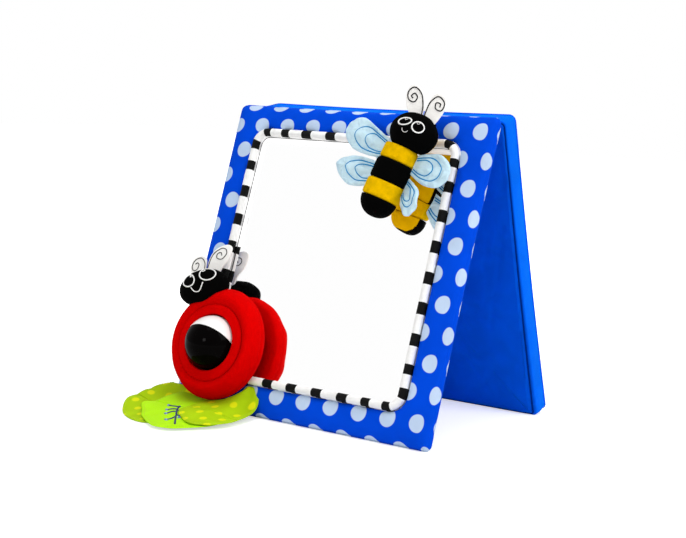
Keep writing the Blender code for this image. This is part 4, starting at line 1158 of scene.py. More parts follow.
def ring_section(rim, grow=0.0):
    """Closed section of the ring as (radius, height) points."""
    bore = COLLAR_BORE + COLLAR_WALL + GAP - grow
    groove = COLLAR_FLANGE + GAP - grow
    seat = RING_FRONT - FLANGE_THICK - GAP + grow
    front, back = RING_FRONT + grow, -RING_BACK - grow
    swell = rim + grow - groove
    domed = [(groove, seat), (groove + swell * 0.06, mix(seat, front, 0.26)),
             (groove + swell * 0.17, mix(seat, front, 0.66)), (groove + swell * 0.34, front),
             (groove + swell * 0.54, front * 0.95), (groove + swell * 0.74, front * 0.74),
             (groove + swell * 0.92, front * 0.38), (rim + grow, 0),
             (groove + swell * 0.95, back * 0.5), (groove + swell * 0.78, back * 0.88),
             (groove + swell * 0.45, back)]
    smooth = [tuple(p) for p in spline([Vector((r, h, 0)) for r, h in domed], 5)]
    return [(bore, seat)] + [(p[0], p[1]) for p in smooth] + [(bore, back)]


def build_ring(grow=0.0, soft=True):
    """The closed section carried round. grow makes it bigger, as a cutter for the head."""
    loops = []
    for across, up in circle(120):
        loop = []
        for radius, height in ring_section(ring_rim(across, up), grow):
            x, y = radius * across, radius * up
            if soft and radius > COLLAR_FLANGE + 0.001 and height > -RING_BACK * 0.8:
                seam = math.exp(-(height / 0.0011) ** 2)
                lump = wobble((x, y, height), 0.018, 11.0) * PLUSH_LUMP - RING_SEAM * seam
                radius += lump
                height += lump * 0.6
                x, y = radius * across, radius * up
            loop.append(BUG @ Vector((x, y, height)))
        loops.append(loop)
    return loft("ring", loops, join_ends=True)


add_piece("ladybug_plush_ring", build_ring(), red_plush, "front_panel", "red_plush",
          ("ladybug_ring",))

# %% Collar round the ball


def collar_profile():
    """Closed section of the collar: a sleeve round the ball, and a soft flange on the ring."""
    sleeve = COLLAR_BORE + COLLAR_WALL
    under = RING_FRONT - FLANGE_THICK
    lip = LIP
    profile = [(sleeve, under), (sleeve, GAP), (COLLAR_BORE, GAP),
               (COLLAR_BORE, RING_FRONT - lip * 1.6)]
    for step in range(7):
        angle = math.radians(180 - 90 * step / 6)
        profile.append((COLLAR_BORE + lip + lip * math.cos(angle),
                        RING_FRONT - lip + lip * math.sin(angle)))
    wide, deep = LIP_ROUND, FLANGE_THICK - 0.0004
    for share in (0.25, 0.5, 0.75):
        profile.append((mix(COLLAR_BORE + lip, COLLAR_FLANGE - wide, share),
                        RING_FRONT - 0.0002 * share))
    for step in range(11):
        angle = math.radians(90 - 90 * step / 10)
        profile.append((COLLAR_FLANGE - wide + wide * math.cos(angle),
                        RING_FRONT - 0.0002 - deep + deep * math.sin(angle)))
    profile.append((COLLAR_FLANGE, under))
    return profile


profile = collar_profile()
loops = [[BUG @ Vector((r * c, r * s, h)) for r, h in profile] for c, s in circle(112)]
add_piece("ladybug_cloth_collar", loft("collar", loops, join_ends=True), red_knit,
          "front_panel", "red_cloth", ("ladybug_front_collar",))

# %% [markdown]
# ## The spinning ball
#
# The ball is a rattle moulded in two halves, black and white, that turns on an axle. Each half is a
# hollow shell turned about its own pole, with a fine step at its rim that leaves the joint line of a
# real moulding, and a hole at each side for the axle.

# %% Ball halves
BALL_RADIUS, BALL_WALL = 0.0250, 0.0020
BALL_TURN = math.radians(58.4)
BALL = BUG @ Matrix.Translation((0, 0, 0.0086))
AXLE_HOLE = 0.0018


def half_ball_profile(steps=26):
    """(radius, height) points over the shell's outside, round its rim and back along its inside."""
    inner = BALL_RADIUS - BALL_WALL
    profile = []
    for step in range(steps + 1):
        angle = math.radians(mix(0.4, 89.2, step / steps))
        profile.append((BALL_RADIUS * math.sin(angle), BALL_RADIUS * math.cos(angle)))
    profile.append((BALL_RADIUS - 0.0002, GAP / 2))
    for step in range(steps + 1):
        angle = math.radians(mix(89.6, 0.4, step / steps))
        profile.append((inner * math.sin(angle), max(inner * math.cos(angle), GAP / 2)))
    return profile


def build_half_ball(turn):
    """One hollow half, turned about its pole. turn swings the pole about the axle."""
    matrix = BALL @ Matrix.Rotation(turn, 4, "X")
    loops = [[matrix @ Vector((r * c, r * s, h)) for c, s in circle(96)]
             for r, h in half_ball_profile()]
    return loft("half_ball", loops, cap_first=True, cap_last=True)


def cut_axle_hole(mesh):
    """Bore the hole for the axle through a shell."""
    bm = bmesh.new()
    bmesh.ops.create_cone(bm, cap_ends=True, segments=32, radius1=AXLE_HOLE, radius2=AXLE_HOLE,
                          depth=0.08)
    bmesh.ops.transform(bm, verts=bm.verts, matrix=BALL @ Matrix.Rotation(math.radians(90), 4, "Y"))
    return subtract(mesh, keep_mesh(bm, "drill", smooth=False))


def subtract(mesh, cutter_mesh):
    """Cut one mesh out of another with a boolean."""
    cutter = bpy.data.objects.new("cutter", cutter_mesh)
    scene.collection.objects.link(cutter)
    made = run_modifier(mesh, "BOOLEAN", operation="DIFFERENCE", solver="EXACT", object=cutter)
    bpy.data.objects.remove(cutter)
    made.set_sharp_from_angle(angle=math.radians(40))
    return made


for name, turn, finish, slot, node in (
        ("ball_black_shell", BALL_TURN, ball_black, "black_plastic", "ball_black_half"),
        ("ball_white_shell", BALL_TURN + math.pi, ball_white, "white_plastic", "ball_white_half")):
    add_piece(name, cut_axle_hole(build_half_ball(turn)), finish, "ball", slot, (node,))

# %% [markdown]
# ## Stuffed heads and their faces
#
# A stuffed head is an ellipsoid that is slightly uneven. The faces are embroidered, so each eye and
# each smile is a thread that follows the head. A point of a face is given by two angles from the
# head's centre, and a ray from there finds the surface.

# %% Helpers for stuffed heads
HEAD_LUMP = 0.0005


def stuffed_ball(radii, matrix, seed, cut_below=None, rings=44):
    """An uneven ellipsoid about a matrix, flattened below a height where cut_below is given."""
    loops = []
    for ring in range(1, rings):
        polar = math.pi * ring / rings
        loop = []
        for c, s in circle(72):
            unit = Vector((math.sin(polar) * c, math.sin(polar) * s, math.cos(polar)))
            point = Vector((unit.x * radii[0], unit.y * radii[1], unit.z * radii[2]))
            point += unit * wobble(point, 0.012, seed) * HEAD_LUMP
            if cut_below is not None:
                point.z = max(point.z, cut_below)
            loop.append(matrix @ point)
        loops.append(loop)
    return loft("stuffed", loops, cap_first=True, cap_last=True)


def face_finder(mesh, centre, right, up, front):
    """A function from two angles in degrees to a point on the head, just above its surface."""
    tree = BVHTree.FromPolygons([v.co for v in mesh.vertices],
                                [list(f.vertices) for f in mesh.polygons])

    def find(across, rise, above=0.0001):
        a, b = math.radians(across), math.radians(rise)
        way = right * math.sin(a) * math.cos(b) + up * math.sin(b) + front * math.cos(a) * math.cos(b)
        hit, _, _, _ = tree.ray_cast(centre + way * 0.1, -way)
        return hit + way * above
    return find


def eye_line(find, across, rise, half_wide, half_high, tilt):
    """Outline of an eye on a head, as an ellipse in the two angles."""
    c, s = math.cos(math.radians(tilt)), math.sin(math.radians(tilt))
    ellipse = [(half_wide * cosine, half_high * sine) for cosine, sine in circle(40)]
    return [find(across + a * c - b * s, rise + a * s + b * c) for a, b in ellipse]


def sew_face(name, find, eyes, smile, notches, eye_radius, smile_radius, body):
    """Sew the eyes in one thread, and the smile and the notches over the eyes in another."""
    rings = [(eye_line(find, *eye), True) for eye in eyes]
    sew_thread(name + "_eyes", rings, eye_radius, white_thread, body, "white_felt")
    small = [(angle_line(find, line), False) for line in (smile, *notches)]
    sew_thread(name + "_smile", small, smile_radius, white_thread, body, "white_felt")


def angle_line(find, angles, steps=8):
    """A smooth line over a head through a few pairs of angles."""
    return [find(p.x, p.y) for p in spline([Vector((a, b, 0)) for a, b in angles], steps)]


# %% Ladybug's head
BUG_HEAD = (BUG @ Matrix.Translation((-0.0256, 0.0489, 0.0070))
            @ Matrix.Rotation(math.radians(18), 4, "Z"))
BUG_HEAD_RADII = (0.0260, 0.0175, 0.0160)

bug_head_mesh = subtract(stuffed_ball(BUG_HEAD_RADII, BUG_HEAD, 21.0),
                         build_ring(grow=0.0005, soft=False))
bug_head = add_piece("ladybug_stuffed_head", bug_head_mesh, black_plush, "front_panel", "black_plush",
                     ("ladybug_head",))
bug_axes = [BUG_HEAD.to_3x3() @ Vector(v) for v in ((1, 0, 0), (0, 1, 0), (0, 0, 1))]
find = face_finder(bug_head.data, BUG_HEAD.translation, *bug_axes)
sew_face("ladybug_embroidered", find,
         ((-26.0, 18.5, 29.0, 20.0, 152.0), (44.0, 31.5, 27.0, 24.0, 110.0)),
         ((-13.0, -9.0), (-3.0, -23.0), (10.0, -27.0), (22.4, -21.3), (32.6, 0.7)),
         (((-28.0, 37.0), (-22.0, 30.0), (-17.0, 34.0)), ((24.0, 50.0), (32.0, 42.0), (41.0, 47.0))),
         0.00062, 0.00050, "front_panel")

# %% [markdown]
# ## Felt antennae
#
# Each antenna is a petal cut from two layers of white felt, with a spiral sewn on both sides. The
# petal is a plate with rounded edges: rings that shrink toward a middle point, once for the front
# and once for the back. The same plate, made puffier, also gives the wings and the leaves.

# %% Helper: a padded plate


# Rings of a plate, from its outline to its middle.
PLATE_SHARES = [0.992, 0.975, 0.95, 0.91] + [0.86 - 0.05 * k for k in range(17)] + [0.02]


def plate_rings(shape, centre, matrix, rise_of, sag_of):
    """Closed plate: rise_of(share, x, y) is its half thickness, and sag_of(x, y) bends it."""
    loops = []
    sides = [(-1, share) for share in reversed(PLATE_SHARES)] + [(0, 1.0)]
    for side, share in sides + [(1, share) for share in PLATE_SHARES]:
        ring = [centre + (p - centre) * share for p in shape]
        loops.append([matrix @ Vector((q.x, q.y, sag_of(q.x, q.y) + side * rise_of(share, q.x, q.y)))
                      for q in ring])
    return loft("plate", loops, cap_first=True, cap_last=True)


def rounded_edge(thickness):
    """Half thickness of a plate whose edge is rounded and whose faces are flat."""
    return lambda share, x, y: thickness / 2 * min(1.0, (1 - share + 0.02) / 0.06) ** 0.5


# %% Ladybug's antennae, patch and spirals
FELT = 0.0016
BACK_TUCK = 0.24       # the spiral on the back keeps clear of the felt's edge
BUG_RIGHT_FELT = ((-0.20, 0.20), (-0.255, 0.44), (-0.24, 0.68), (-0.155, 0.85), (-0.02, 0.95),
                  (0.145, 1.0), (0.255, 0.955), (0.27, 0.845), (0.235, 0.675), (0.115, 0.47),
                  (0.045, 0.20))
BUG_LEFT_FELT = ((-0.44, 0.09), (-0.61, 0.245), (-0.69, 0.415), (-0.69, 0.56), (-0.575, 0.67),
                 (-0.41, 0.695), (-0.31, 0.61), (-0.29, 0.43), (-0.28, 0.18))
# Spirals in millimetres across and up from the head's centre.
BUG_RIGHT_SPIRAL = ((-11.0, 19.0), (-8.0, 33.3), (-0.5, 40.2), (5.5, 40.3), (7.5, 35.9), (3.7, 30.7),
                    (-2.4, 31.0), (-3.0, 34.8), (0.7, 36.6), (2.7, 34.0))
BUG_LEFT_SPIRAL = ((-13.8, 17.5), (-15.2, 25.0), (-20.4, 29.0), (-26.8, 26.5), (-29.2, 20.4),
                   (-26.7, 16.3), (-22.8, 17.7), (-21.5, 22.3), (-23.7, 24.0), (-26.0, 22.5))
BUG_FELT_PLANE = BUG @ Matrix.Translation((-0.0256, 0.0489, -0.0040))


def felt_antenna(name, shares, reach, spiral, thread_radius, matrix, body, bend):
    """A felt petal from an outline in shares of its reach, with a spiral sewn on both sides."""
    shape = spline([Vector((a * reach, b * reach)).to_3d() for a, b in shares], 6, closed=True)
    centre = sum(shape, Vector()) / len(shape)

    def sag(x, y):
        curl = bend * ((y - centre.y) / 0.02) ** 2 * 0.0010
        return curl + 0.0002 * wobble((x, y, 0), 0.01, 5.0)

    mesh = plate_rings(shape, centre, matrix, rounded_edge(FELT), sag)
    add_piece(name + "_felt", mesh, white_felt, body, "white_felt", (name,))
    flat = spline([Vector((a / 1000, b / 1000, 0)) for a, b in spiral], 7)
    lines = []
    for side, tuck in ((-1, BACK_TUCK), (1, 0.0)):
        lift = side * (FELT / 2 + 0.00015)
        line = [p.lerp(Vector((centre.x, centre.y, 0)), tuck * smooth_step((p.y - 0.003) / 0.006))
                for p in flat]
        lines.append(([matrix @ Vector((p.x, p.y, sag(p.x, p.y) + lift)) for p in line], False))
    sew_thread(name + "_spiral", lines, thread_radius, black_thread, body, "black_plush", step=0.0006)


felt_antenna("ladybug_right_antenna", BUG_RIGHT_FELT, 0.045, BUG_RIGHT_SPIRAL, 0.00040,
             BUG_FELT_PLANE, "front_panel", -1)
felt_antenna("ladybug_left_antenna", BUG_LEFT_FELT, 0.045, BUG_LEFT_SPIRAL, 0.00040,
             BUG_FELT_PLANE, "front_panel", 1)


def soft_block(name, node, finish, slot, round_by):
    """A small sewn pad in a node's own place: its box in the panel's frame with rounded edges."""
    inverse = FRONT.inverted()
    points = [inverse @ v.co for v in nodes[node].data.vertices]
    low = Vector(map(min, *points))
    high = Vector(map(max, *points))
    bm = bmesh.new()
    bmesh.ops.create_cube(bm, size=1.0)
    size = high - low
    bmesh.ops.scale(bm, vec=size, verts=bm.verts)
    bmesh.ops.bevel(bm, geom=bm.edges[:], offset=min(round_by, min(size) * 0.4), segments=3,
                    affect="EDGES")
    bmesh.ops.transform(bm, verts=bm.verts, matrix=FRONT @ Matrix.Translation((low + high) / 2))
    add_piece(name, keep_mesh(bm, name), finish, "front_panel", slot, (node,))


soft_block("ladybug_sewn_patch", "ladybug_patch", red_knit, "red_cloth", 0.0006)
soft_block("bee_black_ribbon", "bee_ribbon", ribbon_cloth, "ribbon", 0.0004)

# %% [markdown]
# ## The bee
#
# The bee is one stuffed velour body sewn from bands: a black tail, yellow, black, yellow, and a
# black head. Its back is plain orange plush, which the mirror shows. Each band swells between its
# seams. The bands are turned from a profile with a little unevenness, so the light breaks on them
# as on real stuffing, and each face carries a mark that says which cloth it is cut from.

# %% Bee's body
BEE_STATIONS = ((0.0, 0.0168), (0.0157, 0.0166), (0.0348, 0.0160), (0.0487, 0.0150))
SEAM_PINCH = 0.0007


def bee_radius(place):
    """The bee's radius at a place along it, between the stations."""
    for (low, a), (high, b) in zip(BEE_STATIONS, BEE_STATIONS[1:]):
        if place <= high:
            return mix(a, b, (place - low) / (high - low))
    return BEE_STATIONS[-1][1]


def mark_behind(mesh, line, lowest=-1.0):
    """Mark the faces behind a line of the bee's side as cut from its plain back."""
    mark = mesh.attributes.new("behind", "FLOAT", "FACE")
    inverse = BEE.inverted()
    for face in mesh.polygons:
        place = inverse @ face.center
        mark.data[face.index].value = float(place.y > line and place.z > lowest)


def stuffed_band(profile, seed):
    """A profile of (radius, place) turned about the bee's length, a little unevenly."""
    loops = []
    for radius, place in profile:
        loop = []
        for c, s in circle(96):
            x, y = radius * c, radius * s
            lump = 1 + wobble((x, y, place), 0.011, seed) * 0.022
            loop.append(BEE @ Vector((x * lump, y * lump, place)))
        loops.append(loop)
    return loft("band", loops, cap_first=True, cap_last=True)


def band_profile(low, high, steps=14):
    """A band that swells between its two seams."""
    profile = [(bee_radius(high) * 0.5, high - 0.0004), (bee_radius(high) - 0.0016, high - 0.0001)]
    for step in range(steps + 1):
        share = step / steps
        place = mix(high - 0.0002, low + 0.0002, share)
        swell = (1 - (2 * share - 1) ** 6) ** 0.5
        profile.append((bee_radius(place) - SEAM_PINCH * 1.3 + SEAM_PINCH * 1.6 * swell, place))
    profile += [(bee_radius(low) - 0.0016, low + 0.0001), (bee_radius(low) * 0.5, low + 0.0004)]
    return profile


def tail_profile(steps=20):
    """The rounded tail, from its seam to its tip."""
    profile = [(0.008, -0.0006), (0.0150, -0.0004), (0.0160, -0.0006)]
    for step in range(steps):
        angle = math.radians(90 * (step + 0.4) / steps)
        profile.append((0.0164 * math.cos(angle) ** 0.9, -0.0004 - 0.0160 * math.sin(angle)))
    return profile


for name, profile, finish, slot, seed in (
        ("bee_tail", tail_profile(), bee_black, "black_plush", 31.0),
        ("bee_rear_band", band_profile(0.0, 0.0154), yellow_plush, "yellow_plush", 32.0),
        ("bee_middle_band", band_profile(0.0157, 0.0345), bee_black, "black_plush", 33.0),
        ("bee_front_band", band_profile(0.0348, 0.0484), yellow_plush, "yellow_plush", 34.0)):
    band = add_piece(name + "_plush", stuffed_band(profile, seed), finish, "bee", slot, (name,))
    mark_behind(band.data, 0.0060, -0.0148)

# %% Bee's head and face
BEE_HEAD = BEE @ Matrix.Translation((0.0045, 0, 0.0629))
BEE_HEAD_RADII = (0.0226, 0.0185, 0.0182)
bee_head = add_piece("bee_stuffed_head",
                     stuffed_ball(BEE_HEAD_RADII, BEE_HEAD, 41.0, cut_below=-0.0142),
                     bee_black, "bee", "black_plush", ("bee_head",))
mark_behind(bee_head.data, 0.0078)
bee_axes = [BEE_HEAD.to_3x3() @ Vector(v) for v in ((1, 0, 0), (0, 0, 1), (0, -1, 0))]
find = face_finder(bee_head.data, BEE_HEAD.translation, *bee_axes)
sew_face("bee_embroidered", find, ((-4.9, 18.0, 20.0, 11.5, 20.0), (38.2, 14.5, 16.0, 14.5, 0.0)),
         ((-1.5, -2.5), (1.0, -8.0), (7.0, -11.0), (14.0, -9.0), (17.5, -4.5)),
         (((-11.0, 28.5), (-6.0, 21.5), (0.0, 27.5)), ((30.0, 26.0), (35.0, 21.0), (41.0, 26.5))),
         0.00062, 0.00022, "bee")

BEE_LEFT_FELT = ((-0.27, 0.22), (-0.37, 0.39), (-0.51, 0.52), (-0.615, 0.69), (-0.635, 0.84),
                 (-0.57, 0.98), (-0.44, 1.0), (-0.285, 0.91), (-0.165, 0.71), (-0.05, 0.53),
                 (-0.01, 0.24))
BEE_RIGHT_FELT = ((0.02, 0.24), (0.0, 0.42), (-0.01, 0.615), (0.0, 0.79), (0.04, 0.92), (0.12, 0.99),
                  (0.255, 0.985), (0.37, 0.91), (0.42, 0.80), (0.425, 0.65), (0.40, 0.505),
                  (0.36, 0.37), (0.27, 0.22))
BEE_LEFT_SPIRAL = ((-1.5, 17.0), (-5.2, 27.6), (-11.9, 36.3), (-20.5, 38.8), (-24.6, 33.4),
                   (-21.4, 27.4), (-14.9, 26.5), (-13.4, 31.1), (-17.5, 33.9), (-20.0, 31.0),
                   (-17.4, 29.4))
BEE_RIGHT_SPIRAL = ((1.5, 17.4), (1.0, 22.9), (1.4, 31.2), (7.1, 37.6), (15.4, 33.8), (15.3, 26.8),
                    (9.0, 27.0), (7.4, 31.8), (11.8, 32.2), (12.4, 29.2))
BEE_FELT_PLANE = BEE @ Matrix.Translation((0.0045, 0.0025, 0.0629)) @ UPRIGHT
felt_antenna("bee_left_antenna", BEE_LEFT_FELT, 0.041, BEE_LEFT_SPIRAL, 0.00055, BEE_FELT_PLANE,
             "bee", 1)
felt_antenna("bee_right_antenna", BEE_RIGHT_FELT, 0.041, BEE_RIGHT_SPIRAL, 0.00055, BEE_FELT_PLANE,
             "bee", 1)

# %% [markdown]
# ## Quilted wings
#
# Each wing is two layers of satin with thin padding, gathered at its root and quilted with two
# loops of blue stitches that start there. Rings that shrink toward the root give both the puffs
# between the loops and the lines that the stitches follow.

# %% Wings
WING_REACH = 0.0520
WING_DEPTH = 0.004                           # how far behind the bee's middle they are sewn on
WING_THICK = 0.0022
WING_PUFF, WING_SKIN = 0.00155, 0.00012      # height of the padding, and of satin and stitches
QUILT_WIDTH = 0.0012
PLEAT, RIDGE = 0.0007, 0.0026
UPPER_LEFT = ((0.0, 0.144), (0.09, 0.18), (0.45, 0.30), (0.72, 0.37), (0.91, 0.28), (0.985, 0.12),
              (0.935, -0.04), (0.76, -0.17), (0.59, -0.21), (0.32, -0.21), (0.09, -0.165), (0.0, -0.14))
LOWER_LEFT = ((0.0, 0.20), (0.325, 0.185), (0.57, 0.155), (0.76, 0.065), (0.85, -0.06), (0.82, -0.15),
              (0.69, -0.27), (0.44, -0.35), (0.18, -0.285), (0.0, -0.20))
UPPER_RIGHT = ((0.0, 0.185), (0.165, 0.255), (0.365, 0.315), (0.545, 0.28), (0.69, 0.15),
               (0.725, -0.02), (0.62, -0.18), (0.505, -0.245), (0.28, -0.25), (0.06, -0.185),
               (0.0, -0.16))
LOWER_RIGHT = ((0.0, 0.18), (0.31, 0.08), (0.48, -0.065), (0.54, -0.25), (0.46, -0.41), (0.33, -0.42),
               (0.135, -0.32), (0.0, -0.18))
LOOPS = ((0.75, 0.66), (0.50, 0.45))     # size of each quilted loop, along and across the wing


def build_wing(name, shares, side, along_share, droop, seed):
    """A padded wing that stands out from the bee's side, with its two loops of stitches."""
    along = WING_REACH * along_share
    lowest = along + WING_REACH * min(up for out, up in shares if out == 0)
    reach = (math.sqrt(bee_radius(lowest) ** 2 - WING_DEPTH ** 2) + 0.0003
             + WING_THICK / 2 * math.sin(droop))
    matrix = (BEE @ Matrix.Translation((side * reach, WING_DEPTH, along))
              @ Matrix.Rotation(-side * droop, 4, "Z") @ UPRIGHT)
    outer = spline([Vector((side * a * WING_REACH, b * WING_REACH, 0)) for a, b in shares], 10)
    root = [outer[-1].lerp(outer[0], k / 8) for k in range(1, 8)]
    centre = Vector((side * 0.0022, (shares[0][1] + shares[-1][1]) / 2 * WING_REACH, 0))
    loops = [[Vector((centre.x + (p.x - centre.x) * along_by,
                      centre.y + (p.y - centre.y) * across_by))
              for p in outer] for along_by, across_by in LOOPS]
    sewn = np.array([tuple(p) for loop in loops for p in loop])

    def rise(share, x, y):
        edge = min(1.0, (1.01 - share) / 0.10) ** 0.6
        near = np.sqrt(np.min((sewn[:, 0] - x) ** 2 + (sewn[:, 1] - y) ** 2))
        quilt = math.exp(-(near / QUILT_WIDTH) ** 2)
        root_flat = 0.55 + 0.45 * smooth_step(abs(x) / 0.008)
        return WING_PUFF * edge * (1 - 0.55 * min(1.0, quilt)) * root_flat + WING_SKIN

    def sag(x, y):
        far = smooth_step(abs(x) / 0.02)
        angle = math.atan2(y - centre.y, abs(x) + 0.002)
        pleat = math.sin(angle * 11 + seed) * PLEAT * smooth_step(abs(x) / 0.010)
        ridge = RIDGE * abs(wobble((x, y * 0.8, 0), 0.012, seed))
        return far * (ridge + 0.0006 * wobble((x, y, 0), 0.005, seed) + pleat)

    def sewn_line(loop, face):
        return [matrix @ Vector((q.x, q.y, sag(q.x, q.y) + face * (rise(0.5, q.x, q.y) + WING_SKIN)))
                for q in loop]

    body = name.replace("bee_", "")
    mesh = plate_rings(outer + root, centre, matrix, rise, sag)
    add_piece(name + "_quilted", mesh, wing_satin, body, "wing_satin", (name,))
    lines = [(sewn_line(loop, face), False) for face in (-1, 1) for loop in loops]
    sew_thread(name + "_stitches", lines, 0.00055, wing_thread, body, "wing_satin")


for name, shares, side, along_share, droop, seed in (
        ("bee_upper_left_wing", UPPER_LEFT, -1, 0.83, 0.0, 51.0),
        ("bee_upper_right_wing", UPPER_RIGHT, 1, 0.73, 0.0, 52.0),
        ("bee_lower_left_wing", LOWER_LEFT, -1, 0.385, 0.0, 53.0),
        ("bee_lower_right_wing", LOWER_RIGHT, 1, 0.32, math.radians(24), 54.0)):
    build_wing(name, shares, side, along_share, droop, seed)

# %% [markdown]
# ## The leaves
#
# Three padded leaves lie in a pile in front of the ladybug. Each is sewn to the border behind it,
# rises over a fold and can be lifted on its own. The part behind the fold stays with the panel, and
# the blade in front of it moves. Both are cut from the same cloth, so they meet as one leaf. The
# pile is soft and rises toward the panel, so all three follow one low hill.

# %% Leaf blades
LEAF_LEFT_X, LEAF_SPAN = -0.1500, 0.1200
LEAF_LINE_Y = -0.0447
LEAF_THICK, LEAF_STEP = 0.0018, 0.0022
LEAF_PUFF = 0.00088
HEM_SHARE, HEM_PITCH, HEM_STITCH = 0.90, 0.0026, 0.0019
LEAF_SHAPES = {
    "left": ((0.0, 0.0), (0.006, 0.116), (0.0975, 0.2495), (0.2326, 0.351), (0.382, 0.408),
             (0.498, 0.386), (0.5885, 0.296), (0.584, 0.0)),
    "middle": ((0.190, 0.0), (0.151, 0.094), (0.258, 0.209), (0.356, 0.318), (0.553, 0.455),
               (0.651, 0.487), (0.7665, 0.456), (0.8315, 0.370), (0.8955, 0.283),
               (0.9275, 0.188), (0.933, 0.0)),
    "right": ((0.532, 0.0), (0.5525, 0.133), (0.701, 0.2575), (0.824, 0.31), (0.904, 0.273),
              (0.959, 0.2175), (1.003, 0.083), (1.0, 0.0))}
LEAVES = (("left", 0, lime_cloth, "lime_fabric"), ("middle", 1, green_cloth, "green_fabric"),
          ("right", 2, lime_cloth, "lime_fabric"))


HILL_BACK, HILL_CORNER = 0.0040, 0.0048


def hill(x, y):
    """How far the soft pile rises off the floor toward the border and at its left corner."""
    back = smooth_step((y + 0.088) / 0.043) * smooth_step((-0.034 - x) / 0.030)
    corner = smooth_step((-0.126 - x) / 0.022) * smooth_step((y + 0.085) / 0.035)
    return HILL_BACK * back + HILL_CORNER * corner


def leaf_height(level, x, y):
    """Height of a leaf's middle layer."""
    lump = 0.00012 * wobble((x, y, 0), 0.012, 60.0 + level)
    return LEAF_THICK / 2 + level * LEAF_STEP + hill(x, y) + lump


def blade_rise(share):
    """Half thickness of a blade: a soft edge, then the channel of its hem, then the padding."""
    edge = min(1.0, (1.008 - share) / 0.09) ** 0.55
    hem = 1 - 0.35 * math.exp(-((share - HEM_SHARE) / 0.018) ** 2)
    return LEAF_PUFF * edge * hem + 0.00004


def build_blade(side, level, finish, slot):
    """A padded blade with its hem stitches, on both faces where it lies on another leaf."""
    points = [Vector((LEAF_LEFT_X + LEAF_SPAN * a, LEAF_LINE_Y - 0.0007 - LEAF_SPAN * b, 0))
              for a, b in LEAF_SHAPES[side]]
    shape = spline(points, 12)
    closed = shape + [shape[-1].lerp(shape[0], k / 24) for k in range(1, 24)]
    centre = sum(closed, Vector()) / len(closed)
    mesh = plate_rings(closed, centre, Matrix.Identity(4), lambda share, x, y: blade_rise(share),
                       lambda x, y: leaf_height(level, x, y))
    name, body = "leaf_" + side, side + "_leaf"
    add_piece(name + "_blade", mesh, finish, body, slot, (name,))
    hem = [centre + (p - centre) * HEM_SHARE for p in shape]
    lines = [([Vector((q.x, q.y, leaf_height(level, q.x, q.y) + face * blade_rise(HEM_SHARE)))
               for q in hem], False) for face in ((-1, 1) if level else (1,))]
    sew_stitches(name + "_hem_stitches", lines, HEM_PITCH, HEM_STITCH, STITCH_RADIUS, lime_thread,
                 body, slot)


for leaf in LEAVES:
    build_blade(*leaf)

# %% [markdown]
# ### Veins of the middle leaf
#
# The middle leaf carries embroidery. Here it is plain leaf veins in dark thread, with small
# blue satin-stitched buds at their ends. The thread tree sews both along short curved lines.

# %% Embroidered veins
VEIN_MAIN = ((-0.0945, -0.0475), (-0.0905, -0.0555), (-0.0838, -0.0643), (-0.0740, -0.0765),
             (-0.0629, -0.0897))
VEIN_SIDES = (((-0.0930, -0.0500), (-0.0980, -0.0510), (-0.1030, -0.0520)),
              ((-0.0895, -0.0560), (-0.0940, -0.0580), (-0.0965, -0.0620)),
              ((-0.0861, -0.0610), (-0.0895, -0.0640), (-0.0905, -0.0700)),
              ((-0.0780, -0.0715), (-0.0775, -0.0780), (-0.0785, -0.0830)),
              ((-0.0880, -0.0580), (-0.0835, -0.0590), (-0.0800, -0.0630)),
              ((-0.0805, -0.0685), (-0.0765, -0.0690), (-0.0735, -0.0725)))


def on_middle_leaf(x, y, above):
    """A point just above the middle leaf's upper face."""
    return Vector((x, y, leaf_height(1, x, y) + LEAF_PUFF + above))


veins = [spline([Vector((x, y, 0)) for x, y in vein], 8) for vein in (VEIN_MAIN,) + VEIN_SIDES]
buds = [[vein[-1], vein[-1] + (vein[-1] - vein[-2]).normalized() * 0.0016] for vein in veins[1:]]
for name, lines, above, radius, finish in (
        ("leaf_middle_veins", veins, 0.00005, 0.00085, vein_thread),
        ("leaf_middle_buds", buds, 0.0, 0.00150, bud_thread)):
    sewn = [([on_middle_leaf(p.x, p.y, above) for p in line], False) for line in lines]
    sew_thread(name, sewn, radius, finish, "middle_leaf", "green_fabric")

# %% [markdown]
# ### Sewn roots of the leaves
#
# Behind the fold each leaf runs back to the border. It stays low under the ring and curls up the
# border beside it. Each root is a padded sheet along a curve that starts flat at the fold and ends
# against the border, and its rows are lofted with a soft rounded edge.

# %% Helper: a padded sheet from a grid of points
EDGE_ROWS = 2.2                              # rows over which its edge grows to full thickness


def padded_sheet(name, grid, half_thickness):
    """Closed sheet about a grid of points, thinner toward all its edges."""
    rows, columns = len(grid), len(grid[0])
    bm = bmesh.new()
    faces = {}
    for side in (1, -1):
        for r in range(rows):
            for c in range(columns):
                along = grid[min(r + 1, rows - 1)][c] - grid[max(r - 1, 0)][c]
                across = grid[r][min(c + 1, columns - 1)] - grid[r][max(c - 1, 0)]
                normal = across.cross(along).normalized()
                inside = min(r, c, rows - 1 - r, columns - 1 - c) / EDGE_ROWS
                half = half_thickness * (0.06 + 0.94 * min(1.0, inside) ** 0.5)
                faces[side, r, c] = bm.verts.new(grid[r][c] + normal * (half * side))
    for side in (1, -1):
        for r in range(rows - 1):
            for c in range(columns - 1):
                bm.faces.new([faces[side, r + i, c + j] for i, j in ((0, 0), (0, 1), (1, 1), (1, 0))])
    rim = ([(0, c) for c in range(columns)] + [(r, columns - 1) for r in range(1, rows)]
           + [(rows - 1, c) for c in range(columns - 2, -1, -1)]
           + [(r, 0) for r in range(rows - 2, 0, -1)])
    for (a, b), (c, d) in zip(rim, rim[1:] + rim[:1]):
        bm.faces.new([faces[1, a, b], faces[1, c, d], faces[-1, c, d], faces[-1, a, b]])
    bmesh.ops.recalc_face_normals(bm, faces=bm.faces)
    return keep_mesh(bm, name)


